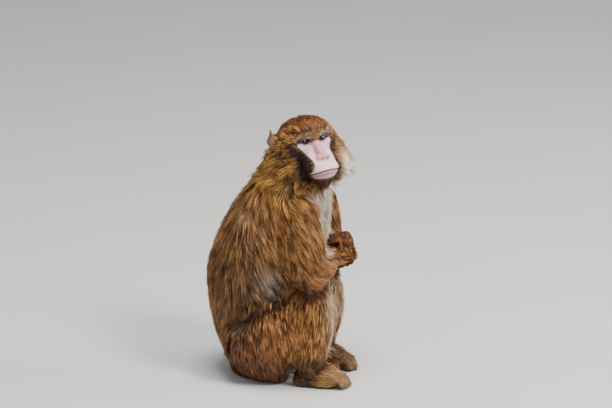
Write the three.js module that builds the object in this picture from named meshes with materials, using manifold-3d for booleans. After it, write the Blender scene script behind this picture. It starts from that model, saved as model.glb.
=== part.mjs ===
// A Barbary macaque, Macaca sylvanus: an adult that sits on the floor with its knees drawn up and its
// arms folded, and looks over its right shoulder. It is still, at life size, out to the tips of the coat.
// Millimetres. +Z is up, the chest faces -Y and +X is the animal's own left. Places are measured from the
// floor under the seat, and the whole is then shifted to have its origin under the middle of its box.
import * as THREE from "three";
import { mergeVertices } from "three/addons/utils/BufferGeometryUtils.js";
import Module from "manifold-3d";

const wasm = await Module();
wasm.setup();

// ---------------------------------------------------------------- driving dimensions

const GAP = 0.5; // clearance round a piece that is let into its neighbour
const WIDE_GAP = 2.2; // the same round a thigh, whose form bends in where it meets the trunk
const FLOOR_CUT = 60; // depth of the block that trims the seat and the soles flat

// Where each limb bends. The right side is the one that the face is turned to.
const RIGHT = {
  shoulder: [-78, -116, 348],
  elbow: [-96, -140, 240],
  wrist: [4, -166, 260],
  hip: [-60, -12, 94],
  knee: [-62, -140, 176],
  ankle: [-68, -134, 44],
  heel: [-72, -102, 0],
};
const LEFT = {
  shoulder: [78, -112, 344],
  elbow: [106, -116, 222],
  wrist: [8, -194, 258],
  hip: [60, -14, 92],
  knee: [56, -132, 166],
  ankle: [54, -118, 42],
  heel: [58, -90, 0],
};

// Half thickness of each limb at its upper end, its belly and its lower end, coat included.
const UPPER_ARM = [42, 41, 35];
const FOREARM = [32, 29, 19];
const THIGH = [62, 58, 33];
const SHANK = [42, 41, 27];

// The trunk as level slices: height, where its back and its front lie along Y, and its half width.
const TRUNK = [
  [-8, 16, -48, 34],
  [0, 29, -62, 49],
  [12, 45, -84, 70],
  [30, 54, -100, 86],
  [69, 72, -112, 97],
  [118, 88, -122, 104],
  [166, 96, -128, 107],
  [208, 100, -138, 107],
  [250, 92, -150, 104],
  [302, 71, -158, 98],
  [348, 47, -154, 90],
  [388, 20, -142, 76],
  [418, -4, -134, 56],
  [436, -26, -122, 26],
];

// The head turns about the middle between the eyes. Degrees; a minus pitch looks up.
const HEAD = { at: [-10, -126.5, 494], yaw: -51, pitch: -9, roll: -6.5 };
const NECK = { from: [4, -64, 350], to: [22, -66, 424], thickness: [68, 62] };
const TAIL = { from: [0, 44, 40], to: [0, 60, 30], thickness: [14, 9] };
const EYE = { at: [19.2, 9, 0], radius: 10, opening: [11, 9, 5.4] };
// The right ear stands up and out; the left one is laid back into the coat.
const EAR = { height: 54, width: 38, thickness: 9 };
const EAR_AT = { right: [-65, 65, 6], left: [58, 65, -2] };

const HAND = { palm: 48, breadth: 36, thickness: 19, finger: 42, thumb: 26, thickness_digit: 6.2 };
const FOOT = { ball: 82, breadth: 50, height: 47, toe: 36, thickness_digit: 8.4 };

// ---------------------------------------------------------------- soft forms

const at = (p) => new THREE.Vector3(...p);
const degrees = THREE.MathUtils.degToRad;

// An egg or ellipsoid: how far a point lies outside it.
function egg(centre, radii, turn = [0, 0, 0]) {
  const middle = at(centre);
  const r = at(radii);
  const back = new THREE.Quaternion()
    .setFromEuler(new THREE.Euler(...turn.map(degrees)))
    .invert();
  const q = new THREE.Vector3();
  return (p) => {
    q.copy(p).sub(middle).applyQuaternion(back);
    const near = Math.hypot(q.x / r.x, q.y / r.y, q.z / r.z);
    const slope = Math.hypot(q.x / r.x ** 2, q.y / r.y ** 2, q.z / r.z ** 2);
    return slope < 1e-9 ? -Math.min(r.x, r.y, r.z) : (near * (near - 1)) / slope;
  };
}

// A rod with round ends that tapers from one end to the other.
function taper(from, to, startRadius, endRadius) {
  const a = at(from);
  const along = at(to).sub(a);
  const q = new THREE.Vector3();
  return (p) => {
    q.copy(p).sub(a);
    const share = THREE.MathUtils.clamp(q.dot(along) / along.lengthSq(), 0, 1);
    return q.addScaledVector(along, -share).length() - THREE.MathUtils.lerp(startRadius, endRadius, share);
  };
}

// Joins forms with a fillet of the given size.
const melt = (size, ...forms) => (p) =>
  forms
    .map((form) => form(p))
    .reduce((a, b) => Math.min(a, b) - Math.max(size - Math.abs(a - b), 0) ** 2 / (4 * size));

// Hollows a form with another one, with a fillet of the given size round the rim.
const hollow = (size, form, tool) => (p) => {
  const a = form(p);
  const b = -tool(p);
  return Math.max(a, b) + Math.max(size - Math.abs(a - b), 0) ** 2 / (4 * size);
};

// A body given by level slices, each an ellipse.
function slices(rows) {
  const heights = rows.map((row) => row[0]);
  const curves = [1, 2, 3].map((column) => smoothThrough(heights, rows.map((row) => row[column])));
  return (p) => {
    const z = THREE.MathUtils.clamp(p.z, heights[0], heights.at(-1));
    const [back, front, half] = curves.map((curve) => curve(z));
    const depth = (back - front) / 2;
    const ring = Math.hypot(p.x / half, (p.y - (back + front) / 2) / depth) - 1;
    return Math.max(ring * Math.min(half, depth), Math.abs(p.z - z));
  };
}

// A smooth curve through values at given places, with no overshoot between them.
function smoothThrough(places, values) {
  const steps = places.slice(1).map((x, i) => (values[i + 1] - values[i]) / (x - places[i]));
  const slopes = places.map((_, i) => {
    const before = steps[Math.max(i - 1, 0)];
    const after = steps[Math.min(i, steps.length - 1)];
    return before * after <= 0 ? 0 : (2 * before * after) / (before + after);
  });
  return (x) => {
    let i = places.findIndex((place) => place > x) - 1;
    if (i < 0) i = x < places[0] ? 0 : places.length - 2;
    const width = places[i + 1] - places[i];
    const t = (x - places[i]) / width;
    const s = 1 - t;
    return (
      values[i] * (1 + 2 * t) * s * s +
      values[i + 1] * (1 + 2 * s) * t * t +
      width * (slopes[i] * t * s * s - slopes[i + 1] * s * t * t)
    );
  };
}

// ---------------------------------------------------------------- from forms to solids

// The outermost point of a form on the ray from a point, grown by a clearance.
function surfacePoint(form, from, direction, reach, grow) {
  const p = new THREE.Vector3();
  const outside = (distance) => form(p.copy(from).addScaledVector(direction, distance)) > grow;
  let far = reach;
  while (far > 0 && outside(far)) far -= 2;
  let near = Math.max(far, 0);
  far = near + 2;
  for (let i = 0; i < 18; i++) {
    const middle = (near + far) / 2;
    if (outside(middle)) far = middle;
    else near = middle;
  }
  return from.clone().addScaledVector(direction, near);
}

// Rings of points cast out from an axis onto a form, with a round cap at each end. The caps take their
// shares of the rings.
function castRings(form, axis, layout, grow) {
  const { sides, rings, caps = [0.3, 0.3], reach = 160, up = [0, 0, 1], phase = 0 } = layout;
  const curve = new THREE.CatmullRomCurve3(axis.map(at), false, "centripetal");
  const [startCap, endCap] = caps;
  const points = [];
  for (let ring = 0; ring <= rings; ring++) {
    const share = ring / rings;
    const along = THREE.MathUtils.clamp((share - startCap) / (1 - startCap - endCap), 0, 1);
    const tilt = Math.max(0, (share - 1 + endCap) / endCap) - Math.max(0, 1 - share / startCap);
    const centre = curve.getPoint(along);
    const forward = curve.getTangent(along);
    const side = new THREE.Vector3().crossVectors(at(up), forward).normalize();
    const rise = new THREE.Vector3().crossVectors(forward, side);
    const angle = (tilt * Math.PI) / 2;
    const count = ring === 0 || ring === rings ? 1 : sides;
    for (let i = 0; i < count; i++) {
      const turn = ((i + phase) / sides) * 2 * Math.PI;
      const direction = forward
        .clone()
        .multiplyScalar(Math.sin(angle))
        .addScaledVector(side, Math.cos(angle) * Math.cos(turn))
        .addScaledVector(rise, Math.cos(angle) * Math.sin(turn));
      points.push(surfacePoint(form, centre, direction, reach, grow));
    }
  }
  return points;
}

// A closed skin over a form. A grown skin has the same faces as the plain one, so it holds all of it.
function skinOver(form, axis, layout, grow = 0) {
  const plain = castRings(form, axis, layout, 0);
  const faces = ringFaces(plain, layout.sides, layout.rings);
  return solidFrom(grow ? castRings(form, axis, layout, grow) : plain, faces);
}

// Triangles between rings of points, with one point at each end. Each four-sided face is split on its
// shorter diagonal.
function ringFaces(points, sides, rings) {
  const faces = [];
  const index = (ring, i) =>
    ring === 0 ? 0 : ring === rings ? points.length - 1 : 1 + (ring - 1) * sides + (i % sides);
  for (let ring = 0; ring < rings; ring++) {
    for (let i = 0; i < sides; i++) {
      const [a, b] = [index(ring, i), index(ring, i + 1)];
      const [c, d] = [index(ring + 1, i), index(ring + 1, i + 1)];
      if (ring === 0) faces.push(a, d, c);
      else if (ring === rings - 1) faces.push(a, b, c);
      else {
        const straight = points[a].distanceTo(points[d]) < points[b].distanceTo(points[c]);
        faces.push(...(straight ? [a, b, d, a, d, c] : [a, b, c, b, d, c]));
      }
    }
  }
  return faces;
}

function solidFrom(points, faces) {
  const solid = new wasm.Manifold(
    new wasm.Mesh({
      numProp: 3,
      vertProperties: new Float32Array(points.flatMap((p) => [p.x, p.y, p.z])),
      triVerts: new Uint32Array(faces),
    }),
  );
  return solid;
}

function solidOfGeometry(geometry) {
  const bare = new THREE.BufferGeometry().setAttribute("position", geometry.getAttribute("position"));
  if (geometry.index) bare.setIndex(geometry.index);
  const merged = mergeVertices(bare, 1e-4);
  return new wasm.Manifold(
    new wasm.Mesh({
      numProp: 3,
      vertProperties: merged.attributes.position.array,
      triVerts: new Uint32Array(merged.index.array),
    }),
  );
}

function geometryOf(solid) {
  const mesh = solid.getMesh();
  const geometry = new THREE.BufferGeometry();
  const positions = new Float32Array(mesh.numVert * 3);
  for (let i = 0; i < mesh.numVert; i++) {
    const start = i * mesh.numProp;
    positions.set(mesh.vertProperties.subarray(start, start + 3), i * 3);
  }
  geometry.setAttribute("position", new THREE.BufferAttribute(positions, 3));
  geometry.setIndex(largestPiece(mesh.triVerts, mesh.numVert));
  geometry.computeVertexNormals();
  return geometry;
}

// The faces of the piece with the most of them: a cut can leave slivers beside the main piece.
function largestPiece(faces, vertexCount) {
  const leader = Array.from({ length: vertexCount }, (_, i) => i);
  const find = (i) => {
    while (leader[i] !== i) {
      leader[i] = leader[leader[i]];
      i = leader[i];
    }
    return i;
  };
  for (let i = 0; i < faces.length; i += 3) {
    leader[find(faces[i + 1])] = find(faces[i]);
    leader[find(faces[i + 2])] = find(faces[i]);
  }
  const pieces = new Map();
  for (let i = 0; i < faces.length; i += 3) {
    const key = find(faces[i]);
    if (!pieces.has(key)) pieces.set(key, []);
    pieces.get(key).push(faces[i], faces[i + 1], faces[i + 2]);
  }
  return [...pieces.values()].reduce((most, piece) => (piece.length > most.length ? piece : most));
}

// A solid carried from a group's own frame to the body's frame.
const carried = (solid, group) => {
  group.updateMatrixWorld(true);
  return solidOfGeometry(geometryOf(solid).applyMatrix4(group.matrixWorld));
};

const cutBy = (solid, ...tools) => tools.reduce((rest, tool) => rest.subtract(tool), solid);
const joined = (...solids) => solids.reduce((whole, piece) => whole.add(piece));

// The block below the floor, which leaves a flat where a form dips into it.
const underFloor = solidOfGeometry(
  new THREE.BoxGeometry(1000, 1000, FLOOR_CUT).translate(0, 0, -FLOOR_CUT / 2),
);

// ---------------------------------------------------------------- trunk and neck

function makeTrunk() {
  const shoulders = [RIGHT, LEFT].map((side) =>
    egg([side.shoulder[0] * 0.72, side.shoulder[1] + 16, side.shoulder[2] - 4], [40, 48, 46]),
  );
  const form = melt(26, slices(TRUNK), ...shoulders);
  return skinOver(form, [[0, -14, 70], [0, -16, 200], [0, -60, 330]], {
    sides: 18,
    rings: 12,
    reach: 170,
    up: [0, 1, 0],
  });
}

function makeNeck(grow = 0) {
  const form = taper(NECK.from, NECK.to, ...NECK.thickness);
  return skinOver(form, [NECK.from, NECK.to], { sides: 12, rings: 5, reach: 90, up: [0, 1, 0] }, grow);
}

// The stump of a tail, all but hidden in the coat.
function makeTail(grow = 0) {
  const form = taper(TAIL.from, TAIL.to, ...TAIL.thickness);
  return skinOver(form, [TAIL.from, TAIL.to], { sides: 8, rings: 6, reach: 30, up: [1, 0, 0] }, grow);
}

// ---------------------------------------------------------------- head

// The head in its own frame: it faces -Y, +X is its left, and the origin is between the eyes.
function headForm() {
  const both = (make) => [make(1), make(-1)];
  const skull = melt(
    26,
    egg([0, 46, -4], [62, 60, 49]), // cranium under the crown's coat
    egg([0, 86, -36], [64, 46, 48]), // nape
    ...both((s) => egg([s * 28, 16, -26], [23, 23, 32])), // cheekbones
  );
  const brow = taper([-25, 7, 15], [25, 7, 15], 11, 11);
  const muzzle = melt(12, taper([0, 8, -40], [0, -16, -52], 31, 28), egg([0, -8, -50], [33, 39, 24]));
  const jaw = taper([0, 20, -64], [0, -14, -72], 30, 20);
  const nose = taper([0, 4, -2], [0, -29, -30], 7, 10);
  const ruffs = both((s) => egg([s * 60, 38, -48], [35, 38, 36], [0, s * -14, 0]));
  const jowls = both((s) => egg([s * 48, 22, -76], [34, 32, 28]));
  const beard = egg([0, 4, -90], [30, 30, 16]);
  const face = melt(10, melt(14, skull, brow, muzzle), jaw, nose);
  const coat = melt(20, face, ...ruffs, ...jowls, beard);
  const sockets = both((s) => egg([s * 20, -13, -1], [16, 12, 9]));
  return sockets.reduce((form, socket) => hollow(8, form, socket), coat);
}

function makeHead(grow = 0) {
  return skinOver(
    headForm(),
    [[0, 66, -24], [0, 34, -24], [0, 4, -26]],
    { sides: 26, rings: 18, caps: [0.26, 0.42], reach: 130, up: [0, 0, 1], phase: 0.5 },
    grow,
  );
}

const eyeBall = (side, radius) =>
  solidOfGeometry(
    new THREE.IcosahedronGeometry(radius, 2).translate(side * EYE.at[0], EYE.at[1], EYE.at[2]),
  );

// The almond opening between the lids.
const eyeOpening = (side) =>
  solidOfGeometry(
    new THREE.SphereGeometry(1, 10, 6)
      .scale(...EYE.opening)
      .translate(side * EYE.at[0], EYE.at[1] - EYE.radius, EYE.at[2]),
  );

function nostril(side) {
  const slit = new THREE.SphereGeometry(1, 7, 4).scale(3.4, 4, 1.9);
  slit.rotateY(degrees(side * -28)).translate(side * 6, -38, -34);
  return solidOfGeometry(slit);
}

// The closed lips: a thin groove round the front of the muzzle.
function mouthGroove() {
  const line = new THREE.CatmullRomCurve3(
    [[-38, -14, -61], [-27, -38, -58.5], [0, -50, -57], [27, -38, -58.5], [38, -14, -61]].map(at),
  );
  const section = new THREE.Shape([[-1, -3], [1, -3], [1, 5], [-1, 5]].map((p) => new THREE.Vector2(...p)));
  const settings = { steps: 8, extrudePath: line, bevelEnabled: false };
  return solidOfGeometry(new THREE.ExtrudeGeometry(section, settings));
}

function makeEar(side, grow = 0) {
  const { height, width, thickness } = EAR;
  const [across, y, z] = side > 0 ? EAR_AT.left : EAR_AT.right;
  const x = Math.abs(across);
  const turn = [0, 0, side * 24];
  const shell = egg([side * x, y, z], [thickness / 2 + 2, width / 2, height / 2], turn);
  const dish = egg([side * (x + 7), y - 4, z + 1], [6, width / 2 - 4, height / 2 - 6], turn);
  const root = taper([side * (x - 12), y - 4, z - 4], [side * x, y - 1, z - 2], 13, 10);
  const form = melt(5, hollow(3, shell, dish), root);
  return skinOver(
    form,
    [[side * (x - 10), y - 3, z - 3], [side * (x - 2), y, z]],
    { sides: 12, rings: 6, caps: [0.3, 0.4], reach: 50, up: [0, 0, 1] },
    grow,
  );
}

// ---------------------------------------------------------------- limbs

const between = (a, b, share) => a.map((value, i) => value + (b[i] - value) * share);

// A limb from one joint to the next, with its fleshy belly pushed out by a bulge.
function limbForm(from, to, [top, belly, end], bulge = [0, 0, 0]) {
  const middle = between(from, to, 0.45).map((value, i) => value + bulge[i]);
  return melt(14, taper(from, middle, top, belly), taper(middle, to, belly, end));
}

function makeLimb(from, to, thickness, { bulge, sides = 11, rings = 8, up } = {}, grow = 0) {
  const form = limbForm(from, to, thickness, bulge);
  return skinOver(form, [from, between(from, to, 0.5), to], { sides, rings, reach: 130, up }, grow);
}

function upperArm(side, grow) {
  return makeLimb(side.shoulder, side.elbow, UPPER_ARM, { up: [0, 1, 0] }, grow);
}

function forearm(side, grow) {
  return makeLimb(side.elbow, side.wrist, FOREARM, { up: [0, 0, 1] }, grow);
}

function thigh(side, grow) {
  const out = Math.sign(side.hip[0]);
  const haunch = egg([side.hip[0] * 1.02, -34, 60], [40, 60, 52]);
  const calf = egg([side.knee[0] * 1.04, -80, 66], [36, 48, 56]);
  const form = melt(44, limbForm(side.hip, side.knee, THIGH, [out * 8, 0, 2]), melt(50, haunch, calf));
  const axis = [[side.hip[0], -2, 74], [side.hip[0], -70, 92], side.knee];
  return skinOver(form, axis, { sides: 12, rings: 9, reach: 130, up: [1, 0, 0] }, grow);
}

function shank(side, grow) {
  const layout = { bulge: [0, -4, 0], sides: 11, rings: 9, up: [1, 0, 0] };
  return makeLimb(side.knee, side.ankle, SHANK, layout, grow);
}

// ---------------------------------------------------------------- hands and feet

// The joints of one finger or toe, each bent down from the one before by the given degrees.
function digitJoints(root, heading, length, bends) {
  const points = [root];
  let pitch = 0;
  [0.42, 0.32, 0.26].forEach((share, i) => {
    pitch += degrees(bends[i]);
    const [x, y, z] = points.at(-1);
    const step = share * length;
    points.push([
      x + step * Math.sin(heading) * Math.cos(pitch),
      y - step * Math.cos(heading) * Math.cos(pitch),
      z - step * Math.sin(pitch),
    ]);
  });
  return points;
}

function digitForm(points, girth) {
  const radii = [girth, girth * 0.95, girth * 0.9, girth * 0.78];
  return melt(3, ...[0, 1, 2].map((i) => taper(points[i], points[i + 1], radii[i], radii[i + 1])));
}

// A palm or sole with its digits, as one solid.
function extremity(palmForm, palmAxis, digits, grow) {
  const palm = skinOver(palmForm, palmAxis, { sides: 11, rings: 7, reach: 60 }, grow);
  const skins = digits.map(({ points, girth }) => {
    const counts = { sides: 6, rings: 4, caps: [0.25, 0.25], reach: 16, up: [1, 0, 0.01] };
    return skinOver(digitForm(points, girth), points, counts, grow);
  });
  return joined(palm, ...skins);
}

// A hand in its own frame: the wrist is at the origin, the fingers point along -Y and the back is up.
// Its thumb is on the +X side, or on the -X side where mirror is -1, and its heel swells to the palm's side.
function hand(mirror, bends, thumbBends, heel, grow = 0) {
  const { palm, breadth, thickness, finger, thumb, thickness_digit: girth } = HAND;
  const form = melt(
    10,
    egg([0, -palm * 0.62, 0], [breadth / 2, palm * 0.44, thickness / 2 + 1]),
    taper([0, 2, 0], [0, -palm * 0.5, 0], thickness / 2 + 2, thickness / 2),
    egg([mirror * breadth * 0.36, -palm * 0.4, -2], [8, 17, 8]),
    egg([0, -palm * 0.44, -heel], [breadth * 0.4, palm * 0.44, heel * 1.1]),
  );
  const fingers = [0.9, 1, 0.96, 0.8].map((share, i) => {
    const across = (1.5 - i) / 3;
    const root = [mirror * across * (breadth - 2 * girth), -palm * (0.88 - 0.05 * Math.abs(i - 1)), 0];
    return { points: digitJoints(root, mirror * across * 0.16, finger * share, bends), girth };
  });
  const thumbRoot = [mirror * breadth * 0.42, -palm * 0.42, -3];
  const thumbPoints = digitJoints(thumbRoot, mirror * 0.75, thumb, thumbBends);
  const axis = [[0, -2, 0], [0, -palm * 0.8, 0]];
  return extremity(form, axis, [...fingers, { points: thumbPoints, girth: girth * 0.95 }], grow);
}

// A foot in its own frame: the heel is at the origin on the floor and the toes point along -Y.
function foot(mirror, grow = 0) {
  const { ball, breadth, height, toe, thickness_digit: girth } = FOOT;
  const form = melt(
    14,
    taper([0, -14, 16], [0, -ball * 0.8, 18], 18, 18),
    egg([0, -ball * 0.84, 21], [breadth / 2, 29, 22]),
    taper([0, -26, height - 10], [0, -ball * 0.82, height - 18], 19, 17),
  );
  const toes = [0.86, 1, 0.97, 0.84].map((share, i) => {
    const across = (1.5 - i) / 3;
    const root = [mirror * across * (breadth - 2 * girth), -ball * (1.04 - 0.04 * Math.abs(i - 1)), 25];
    return { points: digitJoints(root, mirror * across * 0.2, toe * share, [10, 34, 30]), girth };
  });
  const bigToeRoot = [mirror * breadth * 0.38, -ball * 0.7, 11];
  const bigToe = digitJoints(bigToeRoot, mirror * 0.5, toe * 0.82, [0, 8, 8]);
  const axis = [[0, -12, 14], [0, -ball * 0.9, 11]];
  return extremity(form, axis, [...toes, { points: bigToe, girth: girth * 1.15 }], grow);
}

// ---------------------------------------------------------------- assembly

const coat = new THREE.MeshStandardMaterial({ color: 0x9a6430, roughness: 0.9, metalness: 0 });
const paleCoat = new THREE.MeshStandardMaterial({ color: 0xb98f5c, roughness: 0.9, metalness: 0 });
const bareSkin = new THREE.MeshStandardMaterial({ color: 0x7d5a4c, roughness: 0.7, metalness: 0 });
const eyeShell = new THREE.MeshStandardMaterial({ color: 0x3a2412, roughness: 0.08, metalness: 0 });

const macaque = new THREE.Group();

function addPiece(group, name, solid, material) {
  const mesh = new THREE.Mesh(geometryOf(solid), material);
  mesh.name = name;
  group.add(mesh);
}

// A group whose own -Y points along a heading and whose own +Z is nearest to a given normal.
function placedGroup(position, heading, normal) {
  const back = at(heading).normalize().negate();
  const side = new THREE.Vector3().crossVectors(back, at(normal)).normalize();
  const up = new THREE.Vector3().crossVectors(side, back);
  const group = new THREE.Group();
  group.position.set(...position);
  group.quaternion.setFromRotationMatrix(new THREE.Matrix4().makeBasis(side, back, up));
  macaque.add(group);
  return group;
}

const headGroup = new THREE.Group();
headGroup.position.set(...HEAD.at);
headGroup.rotation.set(degrees(HEAD.pitch), degrees(HEAD.roll), degrees(HEAD.yaw), "ZXY");
macaque.add(headGroup);

const rightHandGroup = placedGroup(RIGHT.wrist, [1, 0.24, 0.36], [-0.3, -0.3, 1]);
const leftHandGroup = placedGroup(LEFT.wrist, [-0.22, 0.04, 1], [0.3, -1, 0.1]);
const rightFootGroup = placedGroup(RIGHT.heel, [0.13, -1, 0], [0, 0, 1]);
const leftFootGroup = placedGroup(LEFT.heel, [-0.1, -1, 0], [0, 0, 1]);

const rightHand = (grow) => hand(1, [14, 26, 24], [20, 20, 10], 2, grow);
const leftHand = (grow) => hand(-1, [74, 24, 12], [34, 24, 10], 9, grow);

function addHead() {
  const openings = [1, -1].flatMap((side) => [
    eyeOpening(side),
    eyeBall(side, EYE.radius + GAP),
    nostril(side),
    makeEar(side, GAP),
  ]);
  addPiece(headGroup, "head", cutBy(makeHead(), ...openings, mouthGroove()), coat);
  addPiece(headGroup, "ear_left", makeEar(1), bareSkin);
  addPiece(headGroup, "ear_right", makeEar(-1), bareSkin);
  addPiece(headGroup, "eye_left", eyeBall(1, EYE.radius), eyeShell);
  addPiece(headGroup, "eye_right", eyeBall(-1, EYE.radius), eyeShell);
}

// The limbs lie over the trunk, so each one is let into what is behind it with a little room all round.
function addBody() {
  addPiece(rightHandGroup, "hand_right", rightHand(), bareSkin);
  addPiece(leftHandGroup, "hand_left", leftHand(), bareSkin);
  addPiece(rightFootGroup, "foot_right", cutBy(foot(1), underFloor), bareSkin);
  addPiece(leftFootGroup, "foot_left", cutBy(foot(-1), underFloor), bareSkin);

  const hands = [carried(rightHand(GAP), rightHandGroup), carried(leftHand(GAP), leftHandGroup)];
  const footRoom = {
    right: carried(foot(1, GAP), rightFootGroup),
    left: carried(foot(-1, GAP), leftFootGroup),
  };
  const headRoom = carried(makeHead(GAP), headGroup);
  const room = Object.fromEntries(
    [["right", RIGHT], ["left", LEFT]].map(([name, side]) => [
      name,
      {
        foot: footRoom[name],
        forearm: forearm(side, GAP),
        upperArm: upperArm(side, GAP),
        shank: shank(side, GAP),
        thigh: thigh(side, WIDE_GAP),
      },
    ]),
  );
  const forearms = [room.right.forearm, room.left.forearm];
  const upperArms = [room.right.upperArm, room.left.upperArm];

  for (const [name, side] of [["right", RIGHT], ["left", LEFT]]) {
    const inFront = name === "right" ? [room.left.forearm] : [];
    const lower = cutBy(forearm(side), ...inFront, ...hands);
    const upper = cutBy(upperArm(side), ...forearms, ...hands, headRoom);
    const shin = cutBy(shank(side), room[name].foot, underFloor, ...forearms, ...upperArms, ...hands);
    const above = [room[name].shank, room[name].foot, underFloor, ...forearms, ...upperArms, ...hands];
    addPiece(macaque, `forearm_${name}`, lower, coat);
    addPiece(macaque, `upper_arm_${name}`, upper, coat);
    addPiece(macaque, `shank_${name}`, shin, coat);
    const beside = name === "left" ? [room.right.thigh] : [];
    addPiece(macaque, `thigh_${name}`, cutBy(thigh(side), ...above, ...beside), coat);
  }

  const limbs = [room.right, room.left].flatMap((parts) => Object.values(parts));
  const earRoom = [1, -1].map((side) => carried(makeEar(side, GAP), headGroup));
  const neck = cutBy(makeNeck(), headRoom, ...earRoom, ...upperArms);
  const trunk = cutBy(makeTrunk(), underFloor, headRoom, makeNeck(GAP), makeTail(GAP), ...hands, ...limbs);
  addPiece(macaque, "tail", makeTail(), coat);
  addPiece(macaque, "neck", neck, coat);
  addPiece(macaque, "trunk", trunk, paleCoat);
}

addHead();
addBody();

const middle = new THREE.Box3().setFromObject(macaque, true).getCenter(new THREE.Vector3());
macaque.position.set(-middle.x, -middle.y, 0);

export default macaque;
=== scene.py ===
"""Sitting adult male Barbary macaque as a still, life-size museum model.

One skin stands for all the nodes of flesh and lies inside them by the depth of the coat.
The coat is solid mesh: thin closed locks that gather into tufts and follow the lie of the hair.
Eyes and nails are pieces of their own. Lengths are in millimetres until a mesh is made.
"""

import logging
import math
from dataclasses import dataclass, field
from enum import Enum

import bpy
import numpy as np
from mathutils import Matrix, Vector, kdtree
from mathutils.bvhtree import BVHTree


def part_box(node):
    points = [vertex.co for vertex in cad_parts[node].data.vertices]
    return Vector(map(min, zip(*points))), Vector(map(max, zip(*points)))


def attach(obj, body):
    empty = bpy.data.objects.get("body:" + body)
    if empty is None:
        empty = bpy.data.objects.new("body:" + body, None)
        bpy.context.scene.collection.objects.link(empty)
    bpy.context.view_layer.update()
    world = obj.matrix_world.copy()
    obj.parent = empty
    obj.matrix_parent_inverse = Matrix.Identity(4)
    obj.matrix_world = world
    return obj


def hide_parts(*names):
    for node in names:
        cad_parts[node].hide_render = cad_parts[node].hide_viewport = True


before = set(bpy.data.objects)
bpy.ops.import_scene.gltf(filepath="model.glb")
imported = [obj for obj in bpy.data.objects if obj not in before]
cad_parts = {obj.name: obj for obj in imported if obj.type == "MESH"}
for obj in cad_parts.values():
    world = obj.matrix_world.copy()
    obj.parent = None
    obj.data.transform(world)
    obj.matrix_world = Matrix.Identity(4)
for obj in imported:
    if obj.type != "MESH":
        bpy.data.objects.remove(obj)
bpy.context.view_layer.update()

MM = 0.001
ROOT_BODY = "root"
LOG = logging.getLogger("macaque")

# Middle of the left eyeball in the head's frame; the right one is its mirror image.
EYE_AT = (19.2, 9.0, 0.0)

FLESH = (
    "head", "ear_left", "ear_right", "neck", "trunk", "tail",
    "upper_arm_left", "upper_arm_right", "forearm_left", "forearm_right",
    "hand_left", "hand_right", "thigh_left", "thigh_right",
    "shank_left", "shank_right", "foot_left", "foot_right",
)


# ---------------------------------------------------------------- small tools


def linear(value: str) -> tuple[float, float, float, float]:
    """Turns an sRGB hex colour into linear light.

    Args:
        value: six hex digits after a hash sign.

    Returns:
        Linear red, green, blue and an alpha of one.
    """
    parts = [int(value[i:i + 2], 16) / 255 for i in (1, 3, 5)]
    bent = [c / 12.92 if c <= 0.04045 else ((c + 0.055) / 1.055) ** 2.4 for c in parts]
    return (bent[0], bent[1], bent[2], 1.0)


def add_node(tree: bpy.types.NodeTree, kind: str, inputs: dict | None = None, **settings) -> bpy.types.Node:
    """Adds one shader node.

    Args:
        tree: the material's node tree.
        kind: the node's type name.
        inputs: socket name or number to a value, or to an output socket to link.
        **settings: the node's own properties.

    Returns:
        The new node.
    """
    node = tree.nodes.new(kind)
    for name, value in settings.items():
        setattr(node, name, value)
    for key, value in (inputs or {}).items():
        if isinstance(value, bpy.types.NodeSocket):
            tree.links.new(value, node.inputs[key])
        else:
            node.inputs[key].default_value = value
    return node


def empty_material(name: str) -> tuple[bpy.types.Material, bpy.types.NodeTree]:
    """Makes a material without any nodes, and gives it with its node tree."""
    material = bpy.data.materials.new(name)
    material.use_nodes = True
    material.node_tree.nodes.clear()
    return material, material.node_tree


def add_shader(tree: bpy.types.NodeTree, inputs: dict) -> None:
    """Adds the surface's shader with these inputs and joins it to the material's output."""
    surface = add_node(tree, "ShaderNodeBsdfPrincipled", inputs)
    add_node(tree, "ShaderNodeOutputMaterial", {"Surface": surface.outputs[0]})


def ease(low: float, high: float, value: np.ndarray) -> np.ndarray:
    """Smooth step from 0 at low to 1 at high; low may be the larger one."""
    t = np.clip((value - low) / (high - low), 0.0, 1.0)
    return t * t * (3 - 2 * t)


def unit(vectors: np.ndarray) -> np.ndarray:
    """Vectors scaled to a length of one."""
    return vectors / np.maximum(np.linalg.norm(vectors, axis=-1, keepdims=True), 1e-9)


def across(vectors: np.ndarray, normals: np.ndarray) -> np.ndarray:
    """Vectors with their share along the normals taken out."""
    return vectors - (vectors * normals).sum(-1, keepdims=True) * normals


def hump(value: np.ndarray, width: float) -> np.ndarray:
    """Bell curve that is 1 where value is 0."""
    return np.exp(-(value / width) ** 2)


def varied(plan: tuple[float, float], share: np.ndarray) -> np.ndarray:
    """A base with a spread on top of it, by a share from 0 to 1."""
    return plan[0] + plan[1] * share


def edge_pairs(triangles: np.ndarray) -> np.ndarray:
    """The two ends of every triangle's three edges, the lower vertex number first."""
    return np.sort(triangles[:, [0, 1, 1, 2, 2, 0]].reshape(-1, 2), axis=1)


def turned(yaw: float, pitch: float, roll: float) -> np.ndarray:
    """Rotation matrix from degrees: roll about Y, then pitch about X, then yaw about Z."""
    turn = Matrix.Rotation(math.radians(yaw), 3, "Z") @ Matrix.Rotation(math.radians(pitch), 3, "X")
    return np.array(turn @ Matrix.Rotation(math.radians(roll), 3, "Y"))


# ---------------------------------------------------------------- the pose, in the part's frame


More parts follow.
